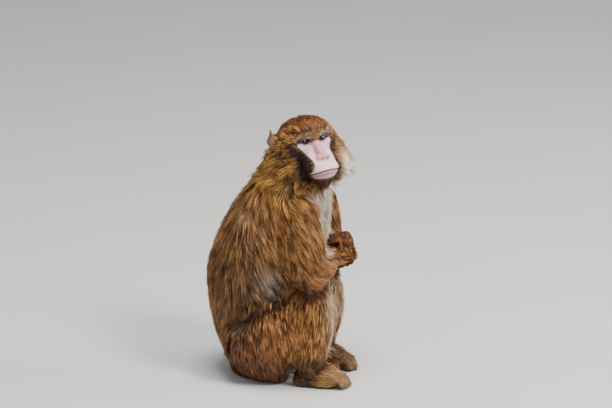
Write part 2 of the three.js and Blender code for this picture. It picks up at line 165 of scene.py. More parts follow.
@dataclass
class Pose:
    """Joints and directions of the sitting body, moved from the seat's frame to the part's."""

    head_at: tuple = (-10.0, -126.5, 494.0)
    head_turn: tuple = (-51.0, -9.0, -6.5)
    eye: tuple = EYE_AT
    joints: dict = field(default_factory=lambda: {
        "right": {"shoulder": (-78, -116, 348), "elbow": (-96, -140, 240), "wrist": (4, -166, 260),
                  "hip": (-60, -12, 94), "knee": (-62, -140, 176), "ankle": (-68, -134, 44),
                  "heel": (-72, -102, 0)},
        "left": {"shoulder": (78, -112, 344), "elbow": (106, -116, 222), "wrist": (8, -194, 258),
                 "hip": (60, -14, 92), "knee": (56, -132, 166), "ankle": (54, -118, 42),
                 "heel": (58, -90, 0)},
    })
    hand_heading: dict = field(default_factory=lambda: {"right": (1, 0.24, 0.36), "left": (-0.22, 0.04, 1)})
    foot_heading: dict = field(default_factory=lambda: {"right": (0.13, -1, 0), "left": (-0.1, -1, 0)})

    def __post_init__(self) -> None:
        """Finds the head's place from the eye nodes, and the shift of the whole body with it."""
        self.turn = turned(*self.head_turn)
        corners = [np.array(c) / MM for side in ("left", "right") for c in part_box("eye_" + side)]
        middle = np.mean(corners, axis=0)
        self.head = middle - self.turn @ np.array((0.0, self.eye[1], 0.0))
        self.shift = self.head - np.array(self.head_at)

    def to_head(self, points: np.ndarray) -> np.ndarray:
        """Points in the head's own frame: it faces -Y, its left is +X, origin between the eyes."""
        return (points - self.head) @ self.turn

    def from_head(self, points: np.ndarray) -> np.ndarray:
        """Points of the head's frame in the part's."""
        return points @ self.turn.T + self.head

    def joint(self, side: str, name: str) -> np.ndarray:
        """A joint's place in the part's frame."""
        return np.array(self.joints[side][name], float) + self.shift

    def bone(self, side: str, start: str, end: str) -> np.ndarray:
        """Unit direction from one joint to the next."""
        return unit(self.joint(side, end) - self.joint(side, start))


# ---------------------------------------------------------------- meshes as arrays


class Surface:
    """A triangle mesh held as arrays, with smoothing over its edges."""

    def __init__(self, points: np.ndarray, triangles: np.ndarray) -> None:
        """Keeps the arrays and works out the edges once."""
        self.points = points
        self.triangles = triangles
        pairs = edge_pairs(triangles)
        keys = np.unique(pairs[:, 0] * len(points) + pairs[:, 1])
        self.edges = np.stack([keys // len(points), keys % len(points)], axis=1)
        self.degree = np.maximum(np.bincount(self.edges.ravel(), minlength=len(points)), 1)

    def normals(self) -> np.ndarray:
        """Outward unit normals at the vertices, weighted by area."""
        a, b, c = (self.points[self.triangles[:, i]] for i in range(3))
        face = np.cross(b - a, c - a)
        total = np.zeros_like(self.points)
        for axis in range(3):
            for corner in range(3):
                total[:, axis] += np.bincount(self.triangles[:, corner], face[:, axis], len(self.points))
        return unit(total)

    def neighbours(self, values: np.ndarray) -> np.ndarray:
        """Mean of each vertex's neighbours, for one or more columns."""
        columns = values.reshape(len(values), -1)
        start, end = self.edges.T
        out = np.empty_like(columns)
        for i in range(columns.shape[1]):
            out[:, i] = np.bincount(start, columns[end, i], len(columns))
            out[:, i] += np.bincount(end, columns[start, i], len(columns))
        return (out / self.degree[:, None]).reshape(values.shape)

    def smoothed(self, values: np.ndarray, rounds: int, amount: np.ndarray | float = 0.6) -> np.ndarray:
        """Values after some rounds of averaging with their neighbours."""
        share = amount if np.isscalar(amount) or values.ndim == 1 else amount[:, None]
        for _ in range(rounds):
            values = values + (self.neighbours(values) - values) * share
        return values

    def areas(self) -> np.ndarray:
        """Area of each triangle in square millimetres."""
        a, b, c = (self.points[self.triangles[:, i]] for i in range(3))
        return np.linalg.norm(np.cross(b - a, c - a), axis=1) / 2

    def refined(self, chosen: np.ndarray) -> tuple["Surface", np.ndarray]:
        """Splits the triangles whose three corners are chosen into four, and their neighbours to fit.

        Args:
            chosen: one true or false per vertex.

        Returns:
            The finer surface, and for each of its vertices the pair of old ones that it lies between.
        """
        tri = self.triangles
        split = chosen[tri].all(axis=1)
        pairs = edge_pairs(tri)
        keys = (pairs[:, 0] * len(self.points) + pairs[:, 1]).reshape(-1, 3)
        cut_keys = np.unique(keys[split])
        place = np.minimum(np.searchsorted(cut_keys, keys), len(cut_keys) - 1)
        is_cut = cut_keys[place] == keys
        middle = np.where(is_cut, place + len(self.points), -1)
        parents = np.stack([cut_keys // len(self.points), cut_keys % len(self.points)], axis=1)
        old = np.repeat(np.arange(len(self.points))[:, None], 2, axis=1)
        parents = np.concatenate([old, parents])
        count = is_cut.sum(axis=1)
        made = [tri[count == 0]]
        a, b, c = tri[count == 3].T
        ab, bc, ca = middle[count == 3].T
        made += [np.stack(t, axis=1) for t in ((a, ab, ca), (ab, b, bc), (ca, bc, c), (ab, bc, ca))]
        for turn in range(3):
            order = [turn, (turn + 1) % 3, (turn + 2) % 3]
            one = (count == 1) & is_cut[:, turn]
            a, b, c = tri[one][:, order].T
            ab = middle[one][:, turn]
            made += [np.stack(t, axis=1) for t in ((a, ab, c), (ab, b, c))]
            two = (count == 2) & ~is_cut[:, turn]
            a, b, c = tri[two][:, order].T
            bc, ca = middle[two][:, order[1]], middle[two][:, order[2]]
            made += [np.stack(t, axis=1) for t in ((a, b, bc), (a, bc, ca), (ca, bc, c))]
        points = self.points[parents].mean(axis=1)
        return Surface(points, np.concatenate(made)), parents


def mesh_arrays(mesh: bpy.types.Mesh) -> tuple[np.ndarray, np.ndarray]:
    """A mesh's points in millimetres and its triangles."""
    mesh.calc_loop_triangles()
    points = np.zeros(len(mesh.vertices) * 3)
    mesh.vertices.foreach_get("co", points)
    triangles = np.zeros(len(mesh.loop_triangles) * 3, np.int64)
    mesh.loop_triangles.foreach_get("vertices", triangles)
    return points.reshape(-1, 3) / MM, triangles.reshape(-1, 3)


def solid_arrays(names: tuple[str, ...]) -> tuple[np.ndarray, np.ndarray, np.ndarray]:
    """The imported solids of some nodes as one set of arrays.

    Args:
        names: the nodes' names.

    Returns:
        Points in millimetres, triangles, and for each triangle the number of its node.
    """
    points, triangles, owners, offset = [], [], [], 0
    for number, name in enumerate(names):
        corners, tri = mesh_arrays(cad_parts[name].data)
        unique, inverse = np.unique(np.round(corners, 3), axis=0, return_inverse=True)
        tri = inverse.reshape(-1)[tri]
        tri = tri[(tri[:, 0] != tri[:, 1]) & (tri[:, 1] != tri[:, 2]) & (tri[:, 0] != tri[:, 2])]
        points.append(unique)
        triangles.append(tri + offset)
        owners.append(np.full(len(tri), number))
        offset += len(unique)
    return np.concatenate(points), np.concatenate(triangles), np.concatenate(owners)


def mesh_from(name: str, points: np.ndarray, triangles: np.ndarray) -> bpy.types.Object:
    """Makes a smooth-shaded mesh object from millimetre arrays.

    Args:
        name: the piece's name.
        points: vertices in millimetres.
        triangles: vertex numbers, three a row.

    Returns:
        The linked object.
    """
    mesh = bpy.data.meshes.new(name)
    mesh.vertices.add(len(points))
    mesh.vertices.foreach_set("co", (points * MM).astype(np.float32).ravel())
    mesh.loops.add(triangles.size)
    mesh.loops.foreach_set("vertex_index", triangles.astype(np.int32).ravel())
    mesh.polygons.add(len(triangles))
    mesh.polygons.foreach_set("loop_start", np.arange(0, triangles.size, 3, dtype=np.int32))
    mesh.polygons.foreach_set("use_smooth", np.ones(len(triangles), bool))
    mesh.update(calc_edges=True)
    mesh.validate()
    made = bpy.data.objects.new(name, mesh)
    bpy.context.scene.collection.objects.link(made)
    return made


def give_values(piece: bpy.types.Object, name: str, columns: np.ndarray) -> None:
    """Stores up to four numbers a vertex as one colour attribute."""
    padded = np.zeros((len(columns), 4), np.float32)
    padded[:, :columns.shape[1]] = columns
    layer = piece.data.attributes.new(name, "FLOAT_COLOR", "POINT")
    layer.data.foreach_set("color", padded.ravel())


def finish_piece(piece: bpy.types.Object, material: bpy.types.Material) -> None:
    """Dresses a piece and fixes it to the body."""
    piece.data.materials.append(material)
    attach(piece, ROOT_BODY)
    LOG.info("%s: %d triangles", piece.name, len(piece.data.polygons))


class Field:
    """Distance to a surface on a grid, with the way out of it and a flow along it."""

    def __init__(self, surface: Surface, flow: np.ndarray, pitch: float = 5.0, margin: float = 55.0) -> None:
        """Measures the distance at every grid point.

        Args:
            surface: the closed skin.
            flow: lie of the hair at each of its vertices.
            pitch: grid spacing.
            margin: how far the grid goes past the skin.
        """
        low = surface.points.min(axis=0) - margin
        self.low, self.pitch = low, pitch
        self.shape = np.ceil((surface.points.max(axis=0) + margin - low) / pitch).astype(int) + 1
        axes = [low[i] + pitch * np.arange(self.shape[i]) for i in range(3)]
        grid = np.stack(np.meshgrid(*axes, indexing="ij"), axis=-1).reshape(-1, 3)
        tree = BVHTree.FromPolygons(surface.points.tolist(), surface.triangles.tolist())
        nearest = [tree.find_nearest(p) for p in grid.tolist()]
        place, normal, index = (np.array([hit[i] for hit in nearest]) for i in range(3))
        away = grid - place
        side = np.where((away * normal).sum(axis=1) < 0, -1.0, 1.0)
        self.distance = (np.linalg.norm(away, axis=1) * side).reshape(self.shape)
        self.out = np.stack(np.gradient(self.distance, pitch), axis=-1)
        self.flow = flow[surface.triangles[index, 0]].reshape(*self.shape, 3)

    def sample(self, values: np.ndarray, points: np.ndarray) -> np.ndarray:
        """Grid values read between the grid points."""
        last = np.array(self.shape) - 1.001  # just inside the last cell
        place = np.clip((points - self.low) / self.pitch, 0, last)
        cell = place.astype(int)
        part = place - cell
        total = 0
        for corner in np.ndindex(2, 2, 2):
            weight = np.prod(np.where(corner, part, 1 - part), axis=1)
            picked = values[cell[:, 0] + corner[0], cell[:, 1] + corner[1], cell[:, 2] + corner[2]]
            total = total + (picked * weight if picked.ndim == 1 else picked * weight[:, None])
        return total


# ---------------------------------------------------------------- the face


def egg(points: np.ndarray, centre: tuple, radii: tuple) -> np.ndarray:
    """Distance to an ellipsoid, near enough close to its surface."""
    scaled = (points - centre) / radii
    length = np.linalg.norm(scaled, axis=1)
    return length * (length - 1) / np.maximum(np.linalg.norm(scaled / radii, axis=1), 1e-9)


def bar(points: np.ndarray, start: tuple, end: tuple, first: float, last: float) -> np.ndarray:
    """Distance to a round bar whose radius goes from first to last."""
    along = np.subtract(end, start)
    share = np.clip((points - start) @ along / (along @ along), 0, 1)
    gap = np.linalg.norm(points - start - share[:, None] * along, axis=1)
    return gap - (first + (last - first) * share)


def melt(one: np.ndarray, other: np.ndarray, width: float) -> np.ndarray:
    """Two forms joined with a fillet of that width."""
    share = np.clip(0.5 + 0.5 * (other - one) / width, 0, 1)
    return other + (one - other) * share - width * share * (1 - share)


def carve(body: np.ndarray, tool: np.ndarray, width: float) -> np.ndarray:
    """One form with another cut out of it, the edge rounded by that width."""
    return -melt(-body, tool, width)


@dataclass
class Face:
    """The bare face as one formula in the head's frame: brow, lids, nose, muzzle, lips and chin."""

    pose: Pose
    eye: tuple = EYE_AT
    lid_radius: float = 11.5
    pocket_radius: float = 8.4
    slit_half: float = 10.4
    upper_lid: float = 1.9
    lower_lid: float = 2.9
    slant: float = 0.17
    mouth_height: float = -56.5
    mouth_half: float = 32.0
    mouth_curve: float = 0.0058
    seam: float = 0.5
    rounds: int = 9
    relaxed_rounds: int = 7
    probe: float = 0.15
    longest_move: float = 6.0

    def lid_gap(self, points: np.ndarray) -> np.ndarray:
        """Signed distance from the edge of the eye's opening, below zero inside it."""
        side = (points[:, 0] - self.eye[0]) / self.slit_half
        height = points[:, 2] - self.eye[2] - self.slant * (points[:, 0] - self.eye[0])
        arch = np.maximum(1 - side ** 2, 0)
        above = height - self.upper_lid * arch ** 0.75
        below = -height - self.lower_lid * arch
        return np.maximum(np.maximum(above, below), (np.abs(side) - 1) * self.slit_half)

    def mouth_line(self, points: np.ndarray) -> np.ndarray:
        """Height over the closed line of the mouth, whose corners turn down."""
        return points[:, 2] - self.mouth_height + self.mouth_curve * points[:, 0] ** 2

    @staticmethod
    def wing_edge(q: np.ndarray) -> np.ndarray:
        """Distance from the fold between the nose's wing and the cheek."""
        return bar(q, (15.0, -22.0, -22.0), (15.0, -35.0, -34.5), 0.0, 0.0)

    @staticmethod
    def nostril(q: np.ndarray) -> np.ndarray:
        """Distance from the middle line of a nostril, a slit that runs in and down."""
        return bar(q, (3.2, -38.4, -34.8), (9.8, -36.9, -31.4), 0.0, 0.0)

    def distance(self, points: np.ndarray) -> np.ndarray:
        """The face's form.

        Args:
            points: places in the head's frame.

        Returns:
            About the distance to the skin, below zero inside.
        """
        q = points.copy()
        q[:, 0] = np.sqrt(points[:, 0] ** 2 + self.seam ** 2)
        skull = egg(q, (0, 44, -5), (53, 54, 43))
        middle = egg(q, (0, 26, -26), (42, 32, 38))
        cheek = egg(q, (29, 17, -23), (17, 18, 17))
        brow = bar(q, (0, 4.5, 13.5), (26, 8.0, 12.0), 8.6, 8.2)
        form = melt(melt(skull, middle, 14), melt(cheek, brow, 8), 9)
        body = bar(q, (0, 22, -34), (0, -10, -53), 27, 27)
        body = melt(body, bar(q, (13, 4, -22), (16, -17, -45), 12, 18), 8)
        plan = egg(q, (0, -8, -54), (38, 41, 21))
        muzzle = carve(plan, -(q[:, 0] - 32.0), 12)
        form = melt(form, melt(body, muzzle, 10), 11)
        jaw = egg(q, (0, -8, -65.5), (27, 35.5, 15))
        chin = egg(q, (0, -9, -79), (18, 25.5, 12.5))
        form = melt(form, melt(jaw, chin, 10), 4)
        nose = bar(q, (0, 1.5, -3), (0, -31.0, -27.5), 6.0, 8.6)
        nose = melt(nose, egg(q, (7.2, -32.0, -30.5), (5.8, 6.6, 5.4)), 4)
        form = melt(form, nose, 6)
        form = carve(form, egg(q, (20, -8.5, -1.5), (13.5, 12.5, 9.2)), 6)
        return self.folds(self.lids(form, q), q)

    def lids(self, form: np.ndarray, q: np.ndarray) -> np.ndarray:
        """Adds the lids over the eyeball and opens them."""
        ball = np.linalg.norm(q - self.eye, axis=1)
        gap = self.lid_gap(q)
        upper = ease(-2, 2, q[:, 2] - self.eye[2])
        shell = ball - self.lid_radius - 0.9 * upper * hump(gap - 1.5, 2.5)
        form = melt(form, shell, 2.6)
        near = ease(19, 14, ball)
        middle = ease(1.0, 0.6, np.abs(q[:, 0] - self.eye[0]) / self.slit_half)
        form = form + near * upper * middle * 0.9 * hump(gap - 5.8, 1.1)
        form = form + near * (1 - upper) * middle * 0.5 * hump(gap - 4.6, 1.1)
        form = form - near * 0.35 * hump(gap - 0.9, 0.7)
        front = ease(self.eye[1] - 1, self.eye[1] - 5, q[:, 1])
        inside = ease(0.45, -0.45, gap) * front
        return form + (ball - self.pocket_radius - form) * inside

    def folds(self, form: np.ndarray, q: np.ndarray) -> np.ndarray:
        """Adds nostrils, nose wings, lips, mouth and the creases round them."""
        front = ease(-12, -20, q[:, 1])
        form = form + 5.0 * hump(self.nostril(q), 1.8)
        wing = bar(q, (4.0, -40.0, -30.6), (12.4, -35.0, -29.0), 0.0, 0.0)
        form = form - 0.8 * hump(wing, 2.6)
        form = form + 1.1 * hump(self.wing_edge(q), 2.6)
        gutter = bar(q, (0, -42, -38.5), (0, -48, -49), 0.0, 0.0)
        form = form + 0.9 * hump(gutter, 2.4)
        height = self.mouth_line(q)
        mouth = ease(self.mouth_half + 1.5, self.mouth_half - 3, q[:, 0]) * front
        form = form + 2.6 * hump(height, 1.3) * mouth
        form = form - 0.5 * hump(height - 3.0, 3.4) * mouth
        form = form - 1.6 * hump(height + 4.4, 3.4) * mouth * ease(31, 18, q[:, 0])
        fold = bar(q, (14.5, -29, -33), (30.5, -21, -54), 0.0, 0.0)
        form = form + 0.9 * hump(fold, 2.4)
        bag = np.linalg.norm((q - (18.5, 0, 2.0)) * (0.8, 0.0, 1.0), axis=1) - 14.5
        form = form + 0.7 * hump(bag, 1.5) * ease(-4, -9, q[:, 2]) * ease(8, 0, q[:, 1])
        furrow = np.sin(q[:, 2] * 1.5 + q[:, 0] * 0.35)
        return form + 0.16 * furrow * ease(12, 4, np.abs(q[:, 2] + 9)) * ease(12, 4, q[:, 0])

    def share(self, points: np.ndarray) -> np.ndarray:
        """How much of the skin's shape the formula gives, 1 on the face and 0 away from it."""
        side = ease(50, 40, np.abs(points[:, 0]))
        deep = ease(24, 12, points[:, 1])
        return side * deep * ease(24, 15, points[:, 2]) * ease(-97, -88, points[:, 2])

    def press(self, surface: Surface) -> None:
        """Moves the skin's vertices onto the face's form, blended out at its border.

        Args:
            surface: the skin, whose points are changed.
        """
        local = self.pose.to_head(surface.points)
        chosen = np.flatnonzero(self.share(local) > 0)
        step = self.probe
        for turn in range(self.rounds):
            points = self.pose.to_head(surface.points)
            here = points[chosen]
            value = self.distance(here)
            slope = np.stack([
                self.distance(here + step * axis) - self.distance(here - step * axis)
                for axis in np.eye(3)
            ], axis=1) / (2 * step)
            size = np.maximum((slope ** 2).sum(axis=1), 0.3)
            move = -np.clip(value / size, -self.longest_move, self.longest_move)[:, None] * slope
            points[chosen] = here + move * self.share(local[chosen])[:, None]
            surface.points = self.pose.from_head(points)
            if turn < self.relaxed_rounds:
                normal = surface.normals()
                pull = across(surface.neighbours(surface.points) - surface.points, normal)
                surface.points[chosen] += 0.5 * pull[chosen]


# ---------------------------------------------------------------- markings


class Marks:
    """Where each colour of skin and coat lies, and where painted shade and light lie, worked out from the
    body's own shape.
    """

    # The shade mark is painted shade; lilac and lid are partly painted shade; on the upper back ash is a
    # painted sheen, and on the knees tan is partly a painted highlight.
    LAYERS = {
        "marks_a": ("cream", "gold", "dark", "rust"),
        "marks_b": ("beard", "brow", "bare", "pink"),
        "marks_c": ("ash", "shade", "lid", "lip"),
        "marks_d": ("umber", "tan", "rosy", "lilac_shade"),
    }
    # Half the width of the face's bare skin at each height of the head.
    BARE_LEVELS = (-76, -74, -71, -66, -58, -50, -42, -34, -24, -15, -7, 1, 6, 9)
    BARE_HALVES = (0, 15, 22, 27, 31, 26, 22, 22.5, 25, 30, 36, 35, 32, 26)
    # Height of the fold under the flank at each place from back to front of the seat.
    FOLD_PLACES = (-180, -129, -79, -45, -11, 8, 40)
    FOLD_HEIGHTS = (236, 226, 198, 179, 156, 127, 70)

    def __init__(self, pose: Pose, face: Face) -> None:
        """Keeps the pose and the face that the markings are set out on."""
        self.pose, self.face = pose, face

    def paint(self, points: np.ndarray, normals: np.ndarray,
              part: dict[str, np.ndarray]) -> dict[str, np.ndarray]:
        """Works out every mark.

        Args:
            points: places in the part's frame.
            normals: the skin's normals there.
            part: how much each place belongs to each kind of part.

        Returns:
            Each mark's strength from 0 to 1.
        """
        marks = {name: np.zeros(len(points)) for names in self.LAYERS.values() for name in names}
        self.paint_head(marks, self.pose.to_head(points), part)
        self.paint_bare(marks, self.pose.to_head(points), normals, part)
        self.paint_body(marks, points - self.pose.shift, normals, part)
        return {name: np.clip(values, 0, 1) for name, values in marks.items()}

    def paint_head(self, marks: dict[str, np.ndarray], h: np.ndarray, part: dict[str, np.ndarray]) -> None:
        """Adds the coat colours of the head, from places in the head's frame."""
        x, y, z, head = np.abs(h[:, 0]), h[:, 1], h[:, 2], part["head"]
        edge = x - np.interp(z, self.BARE_LEVELS, self.BARE_HALVES)
        # The dark cheek patch reaches further on the near (-X) side than on the far side.
        reach = np.where(h[:, 0] > 0, 11.0, 17.0)
        patch = ease(-2, 3, edge) * ease(reach + 6, reach - 8, edge) * ease(54, 42, x)
        patch = patch * ease(3, -6, z) * ease(-96, -82, z) * ease(30, 12, y)
        streak = hump(z + 3 + 0.62 * (x - 34), 6.5) * ease(30, 36, x) * ease(62, 48, x) * ease(50, 30, y)
        crown = ease(20, 28, z) * ease(28, 8, x) * ease(46, 16, y)
        chin = ease(-68, -76, z) * ease(-96, -86, z) * ease(30, 14, x) * ease(4, -12, y)
        darkest = np.maximum(np.maximum(patch, 0.5 * streak), np.maximum(0.4 * crown, 0.6 * chin))
        marks["dark"] += head * darkest
        marks["rust"] += head * 0.7 * ease(14, 30, z) * ease(90, 50, y)
        marks["brow"] += head * 0.75 * ease(42, 34, x) * ease(6, 9, z) * ease(19, 12, z) * ease(30, 12, y)
        marks["gold"] += head * ease(40, 48, x) * ease(16, -4, z)
        temple = 0.15 * hump(z - 8, 12) * ease(38, 46, x)
        marks["umber"] += head * (0.5 * ease(30, 60, y) * ease(30, 5, z) + temple)
        low = ease(-86, -100, z) * ease(-150, -120, z) * ease(44, 16, y) * ease(50, 30, np.abs(h[:, 0] - 8))
        # The far (+X) side of the ruff is made pale: partly the ruff's own pale hair, partly painted light
        # where that side is lit.
        far = ease(34, 50, h[:, 0]) * ease(-8, -36, z) * ease(62, 40, y)
        fringe = head * ease(4, 26, h[:, 0]) * ease(-74, -88, z) * ease(60, 30, y)
        marks["beard"] += (head + part["neck"] + part["trunk"]) * 0.85 * low + head * fringe
        marks["cream"] += 0.75 * head * far * ease(-24, -48, z) + 0.3 * head * far

    def paint_bare(self, marks: dict[str, np.ndarray], h: np.ndarray, normals: np.ndarray,
                   part: dict[str, np.ndarray]) -> None:
        """Adds the bare skin of face, ears, palms and soles, with the tones of the face and painted shade in
        its hollows and creases.
        """
        q = np.stack([np.abs(h[:, 0]), h[:, 1], h[:, 2]], axis=1)
        x, y, z, head = q[:, 0], q[:, 1], q[:, 2], part["head"]
        edge = x - np.interp(z, self.BARE_LEVELS, self.BARE_HALVES)
        top = z - np.minimum(10 * ease(6, 12, x), 9.0)
        pink = head * ease(2.2, -2.2, edge) * ease(3, -3, top) * ease(26, 14, y) * ease(-79, -67, z)
        gap = self.face.lid_gap(q)
        # The dark lids are partly the lids' own purple-grey skin and partly painted shade of the deep-set
        # eyes under the brow.
        near = ease(24, 18, np.linalg.norm(q - self.face.eye, axis=1))
        above = ease(9.5, 4.0, gap) * ease(-4, 0, z)
        marks["lid"] += head * near * np.maximum(above, 0.7 * ease(3.6, 0.4, gap))
        line = self.face.mouth_line(q)
        lips = head * ease(34, 28, x) * ease(-10, -20, y)
        marks["lip"] += lips * np.maximum(hump(line, 1.8), 0.7 * ease(1, -1, line) * ease(-15, -8, line))
        # Painted shade: dark in the nostrils, along the closed mouth, along the fold beside the nose's wings
        # and in a line under the lower lids.
        marks["shade"] += head * 0.95 * hump(self.face.nostril(q), 1.9) + 0.85 * lips * hump(line, 1.1)
        marks["shade"] += head * 0.28 * hump(self.face.wing_edge(q), 2.4)
        marks["shade"] += head * 0.3 * near * hump(gap - 4.4, 1.0) * ease(2, -3, z)
        marks["rosy"] += head * ease(17, 6, x) * ease(6, -4, z) * ease(-44, -32, z)
        # A lilac tint under the eyes and on the lower cheeks: partly the skin's own tone, partly painted
        # shade.
        jowl = head * 0.5 * ease(18, 30, x) * ease(-30, -50, z)
        marks["lilac_shade"] += head * hump(z + 14, 9) * ease(10, 18, x) + jowl
        local = normals @ self.pose.turn
        facing = np.sign(h[:, 0]) * local[:, 0] * 0.5 - local[:, 1] * 0.8
        ear = part["ear"] * ease(0.2, 0.55, facing)
        marks["pink"] += pink + 0.3 * ear
        marks["rosy"] += ear
        digits = part["digit"] * (0.75 * part["hand"] + 0.3 * part["foot"])
        marks["bare"] += pink + ear + (part["hand"] + part["foot"]) * part["underside"] + digits

    def crease(self, seat: np.ndarray) -> np.ndarray:
        """Height over the fold where the flank hangs over the thigh, in the seat's frame."""
        return seat[:, 2] - np.interp(seat[:, 1], self.FOLD_PLACES, self.FOLD_HEIGHTS)

    def paint_body(self, marks: dict[str, np.ndarray], seat: np.ndarray, normals: np.ndarray,
                   part: dict[str, np.ndarray]) -> None:
        """Adds the coat colours of trunk and limbs, with painted shade in folds and under the arms, a painted
        sheen on the upper back and a painted highlight on the knees, from places in the seat's frame.
        """
        x, y, z = seat.T
        trunk, inward = part["trunk"], -np.sign(x) * normals[:, 0]
        front = ease(-98, -122, y) * ease(62, 42, np.abs(x - 6)) * ease(250, 290, z)
        chest = trunk * front + part["neck"] * ease(-84, -104, y)
        inner = (part["thigh"] + part["shank"]) * ease(0.2, 0.7, inward)
        arm_in = part["upper_arm"] * ease(0.3, 0.8, inward)
        shin = part["shank"] * hump(np.abs(x) - 64, 13) * ease(0.3, 0.7, -normals[:, 1]) * ease(70, 120, z)
        tuft = (trunk + part["thigh"]) * hump(z - 142, 17) * hump(y + 6, 13)
        marks["cream"] += chest + 0.8 * inner + 0.8 * arm_in + 0.7 * shin + 0.55 * tuft
        flank = trunk * hump(z - 243, 36) * hump(y + 42, 26) * ease(50, 70, np.abs(x))
        marks["ash"] += 0.9 * flank + 0.08 * part["thigh"]
        # Painted sheen: the top of the upper back is made greyer and lighter.
        marks["ash"] += 0.14 * trunk * ease(290, 340, z) * ease(-70, -30, y)
        low_back = trunk * ease(345, 270, z) * ease(-70, -5, y)
        marks["umber"] += 0.75 * low_back * (1 - flank) + 0.55 * part["forearm"] + 0.7 * part["hand"]
        # The upper arms are browner, and the legs grow browner towards the floor.
        marks["umber"] += 0.3 * part["upper_arm"] + (part["thigh"] + part["shank"]) * ease(110, 60, z)
        hips = part["thigh"] * ease(-70, -10, y)
        marks["umber"] += 0.7 * hips
        rump = (trunk + part["thigh"]) * ease(66, 34, z) * ease(-90, -50, y)
        marks["rust"] += 0.4 * rump + 0.45 * part["hand"] + 0.3 * part["forearm"] + 0.25 * part["thigh"]
        # Darker low down near the floor on the legs and body, and at the back of each foot; the far (+X) foot
        # is browner and less tan than the near one.
        marks["dark"] += 0.5 * (part["shank"] + part["thigh"] + trunk) * ease(64, 30, z) * ease(-150, -100, y)
        marks["tan"] += part["foot"] * ease(-128, -156, y) * (0.95 - 0.5 * ease(0, 10, x))
        marks["umber"] += 0.8 * part["foot"] * np.maximum(ease(0, 10, x), ease(-150, -130, y))
        marks["dark"] += 0.5 * part["foot"] * ease(-145, -125, y)
        # Tan at the front of the knees: partly the fur's own tan, partly a painted highlight.
        marks["tan"] += 0.5 * (part["shank"] + part["thigh"]) * ease(-130, -165, y) * ease(90, 130, z)
        # Painted shade: dark in the fold where the flank hangs over the thigh, in the armpits and on the
        # undersides of the arms.
        lateral = ease(45, 70, np.abs(x))
        over = self.crease(seat)
        fold = ease(6, 0, over) * ease(-22, -10, over) * ease(40, 15, y) * ease(-178, -150, y)
        fold = fold * (trunk + part["thigh"] + part["shank"])
        armpit = trunk * part["upper_arm"] * 2.2 * ease(310, 280, z)
        under_arm = (part["forearm"] + part["upper_arm"]) * ease(0.3, 0.8, -normals[:, 2])
        marks["shade"] += (1.3 * fold + armpit) * lateral + 0.75 * under_arm

    def store(self, piece: bpy.types.Object, marks: dict[str, np.ndarray]) -> None:
        """Writes the marks on a piece's vertices, four to a layer."""
        for layer, names in self.LAYERS.items():
            give_values(piece, layer, np.stack([marks[name] for name in names], axis=1))


# ---------------------------------------------------------------- the skin


KINDS = ("head", "ear", "neck", "trunk", "tail", "upper_arm", "forearm", "hand", "thigh", "shank", "foot")


